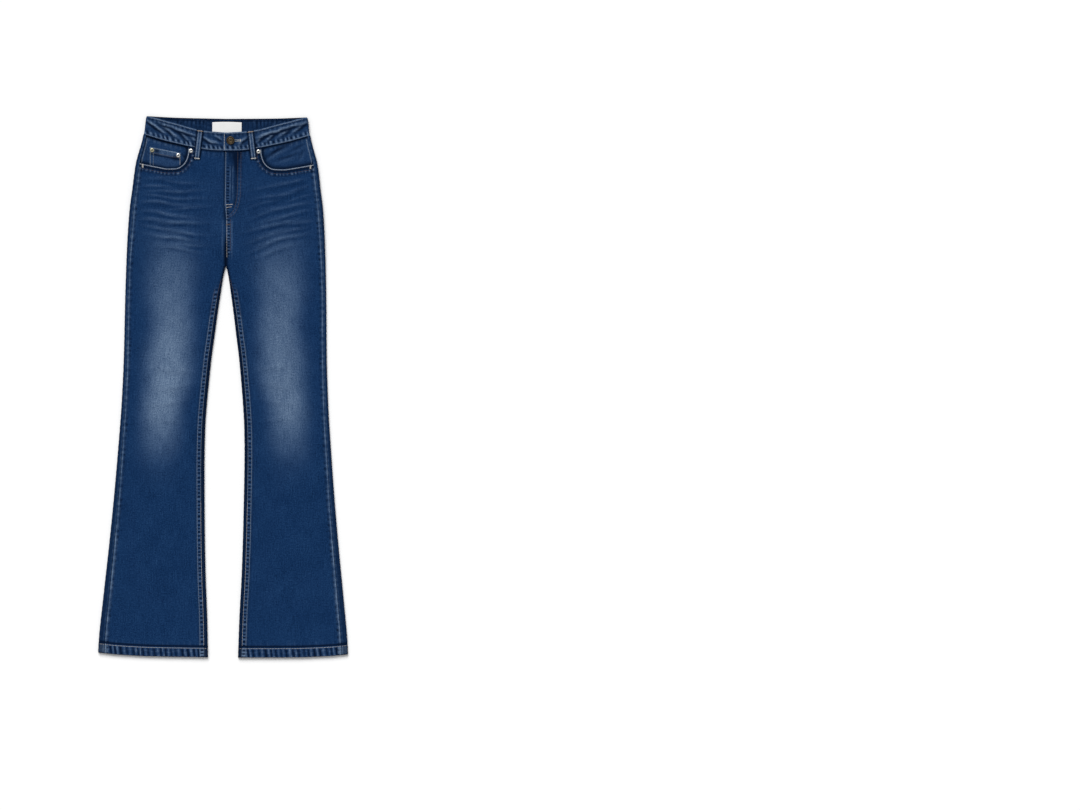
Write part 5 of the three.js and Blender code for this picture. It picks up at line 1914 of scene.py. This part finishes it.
class JEANS_OT_stitching(bpy.types.Operator):
    """Sews the topstitching, bar tacks and buttonhole as joined stitches"""

    bl_idname = "jeans.stitching"
    bl_label = "Stitching"

    def execute(self, context):
        finish, sizes = context.scene.jeans_finish, context.scene.jeans_sizes
        threads = {
            thread: thread_material(f"{thread.capitalize()}_thread", getattr(finish, f"{thread}_thread"))
            for thread in THREADS
        }
        for where, found in (("front", front_threads(sizes)), ("back", back_threads(sizes))):
            for thread, stitches in found.items():
                if stitches:
                    joined_stitches(f"jeans_stitches_{where}_{thread}", stitches, threads[thread])
        white = thread_material("White_thread", finish.white_thread)
        edge, end = buttonhole_threads(sizes)
        joined_stitches("jeans_buttonhole_edge", edge, threads["pale"])
        joined_stitches("jeans_buttonhole_end", end, white)
        return {"FINISHED"}


def photo_place(stage, column_px, row_px):
    """Where a pixel of the picture lies on the ground before the camera is turned, in metres."""
    middle_x, middle_y = 225.1, 387.1
    return (column_px - middle_x) * stage.pixel * MM, (middle_y - row_px) * stage.pixel * MM


class JEANS_OT_stage(bpy.types.Operator):
    """Adds the pale floor, the soft light and the camera that looks straight down"""

    bl_idname = "jeans.stage"
    bl_label = "Stage"

    def execute(self, context):
        stage = context.scene.jeans_stage
        self.add_floor(stage)
        self.add_light()
        self.add_camera(context, stage)
        context.scene.view_settings.view_transform = "Standard"
        return {"FINISHED"}

    def add_floor(self, stage):
        bm = bmesh.new()
        bmesh.ops.create_grid(bm, x_segments=1, y_segments=1, size=30)
        bmesh.ops.translate(bm, vec=(0, 0, -0.0004), verts=bm.verts)
        mesh = bpy.data.meshes.new("stage_floor")
        bm.to_mesh(mesh)
        bm.free()
        material, _, shader = new_material("Floor", stage.floor, 0.9)
        shader.inputs["Specular IOR Level"].default_value = 0.0
        mesh.materials.append(material)
        floor = bpy.data.objects.new("stage_floor", mesh)
        bpy.context.scene.collection.objects.link(floor)

    def add_light(self):
        world = bpy.data.worlds.new("Soft_sky")
        world.use_nodes = True
        background = world.node_tree.nodes["Background"]
        background.inputs["Color"].default_value = (1, 1, 1, 1)
        background.inputs["Strength"].default_value = 0.46
        bpy.context.scene.world = world
        data = bpy.data.lights.new("stage_key", "SUN")
        data.energy, data.angle = 2.95, math.radians(42)
        key = bpy.data.objects.new("stage_key", data)
        key.rotation_euler = Vector((0.30, -0.98, -1)).to_track_quat("-Z", "Y").to_euler()
        bpy.context.scene.collection.objects.link(key)

    def add_camera(self, context, stage):
        picture = (1080, 810)
        data = bpy.data.cameras.new("camera")
        data.lens = stage.lens
        data.sensor_width = 36
        data.clip_end = 100
        camera = bpy.data.objects.new("camera", data)
        x, y = photo_place(stage, picture[0] / 2, picture[1] / 2)
        height = picture[0] * stage.pixel * MM * data.lens / data.sensor_width
        turned = Matrix.Rotation(stage.roll, 4, "Z") @ Vector((x, y, height))
        camera.location = turned
        camera.rotation_euler = (0, 0, stage.roll)
        bpy.context.scene.collection.objects.link(camera)
        context.scene.camera = camera


class JEANS_PT_panel(bpy.types.Panel):
    """Lists the pieces and their settings"""

    bl_label = "Flared jeans"
    bl_idname = "JEANS_PT_panel"
    bl_space_type = "VIEW_3D"
    bl_region_type = "UI"
    bl_category = "Jeans"

    def draw(self, context):
        layout = self.layout
        for operator in OPERATORS:
            layout.operator(operator.bl_idname)
        for group in ("jeans_finish", "jeans_sizes", "jeans_stage"):
            settings = getattr(context.scene, group)
            box = layout.box()
            for key in settings.__annotations__:
                box.prop(settings, key)


GROUPS = {"jeans_finish": JeansFinish, "jeans_sizes": JeansSizes, "jeans_stage": JeansStage}
OPERATORS = (
    JEANS_OT_stage, JEANS_OT_fronts, JEANS_OT_backs, JEANS_OT_waistband, JEANS_OT_pockets, JEANS_OT_loops,
    JEANS_OT_label, JEANS_OT_metalware, JEANS_OT_stitching,
)


def register():
    for group in (*GROUPS.values(), *OPERATORS, JEANS_PT_panel):
        bpy.utils.register_class(group)
    for name, group in GROUPS.items():
        setattr(bpy.types.Scene, name, PointerProperty(type=group))


def unregister():
    for name in GROUPS:
        delattr(bpy.types.Scene, name)
    for group in reversed((*GROUPS.values(), *OPERATORS, JEANS_PT_panel)):
        bpy.utils.unregister_class(group)


def main():
    register()
    bpy.ops.jeans.stage()
    bpy.ops.jeans.fronts()
    bpy.ops.jeans.backs()
    bpy.ops.jeans.waistband()
    bpy.ops.jeans.pockets()
    bpy.ops.jeans.loops()
    bpy.ops.jeans.label()
    bpy.ops.jeans.metalware()
    bpy.ops.jeans.stitching()


if __name__ == "__main__":
    main()
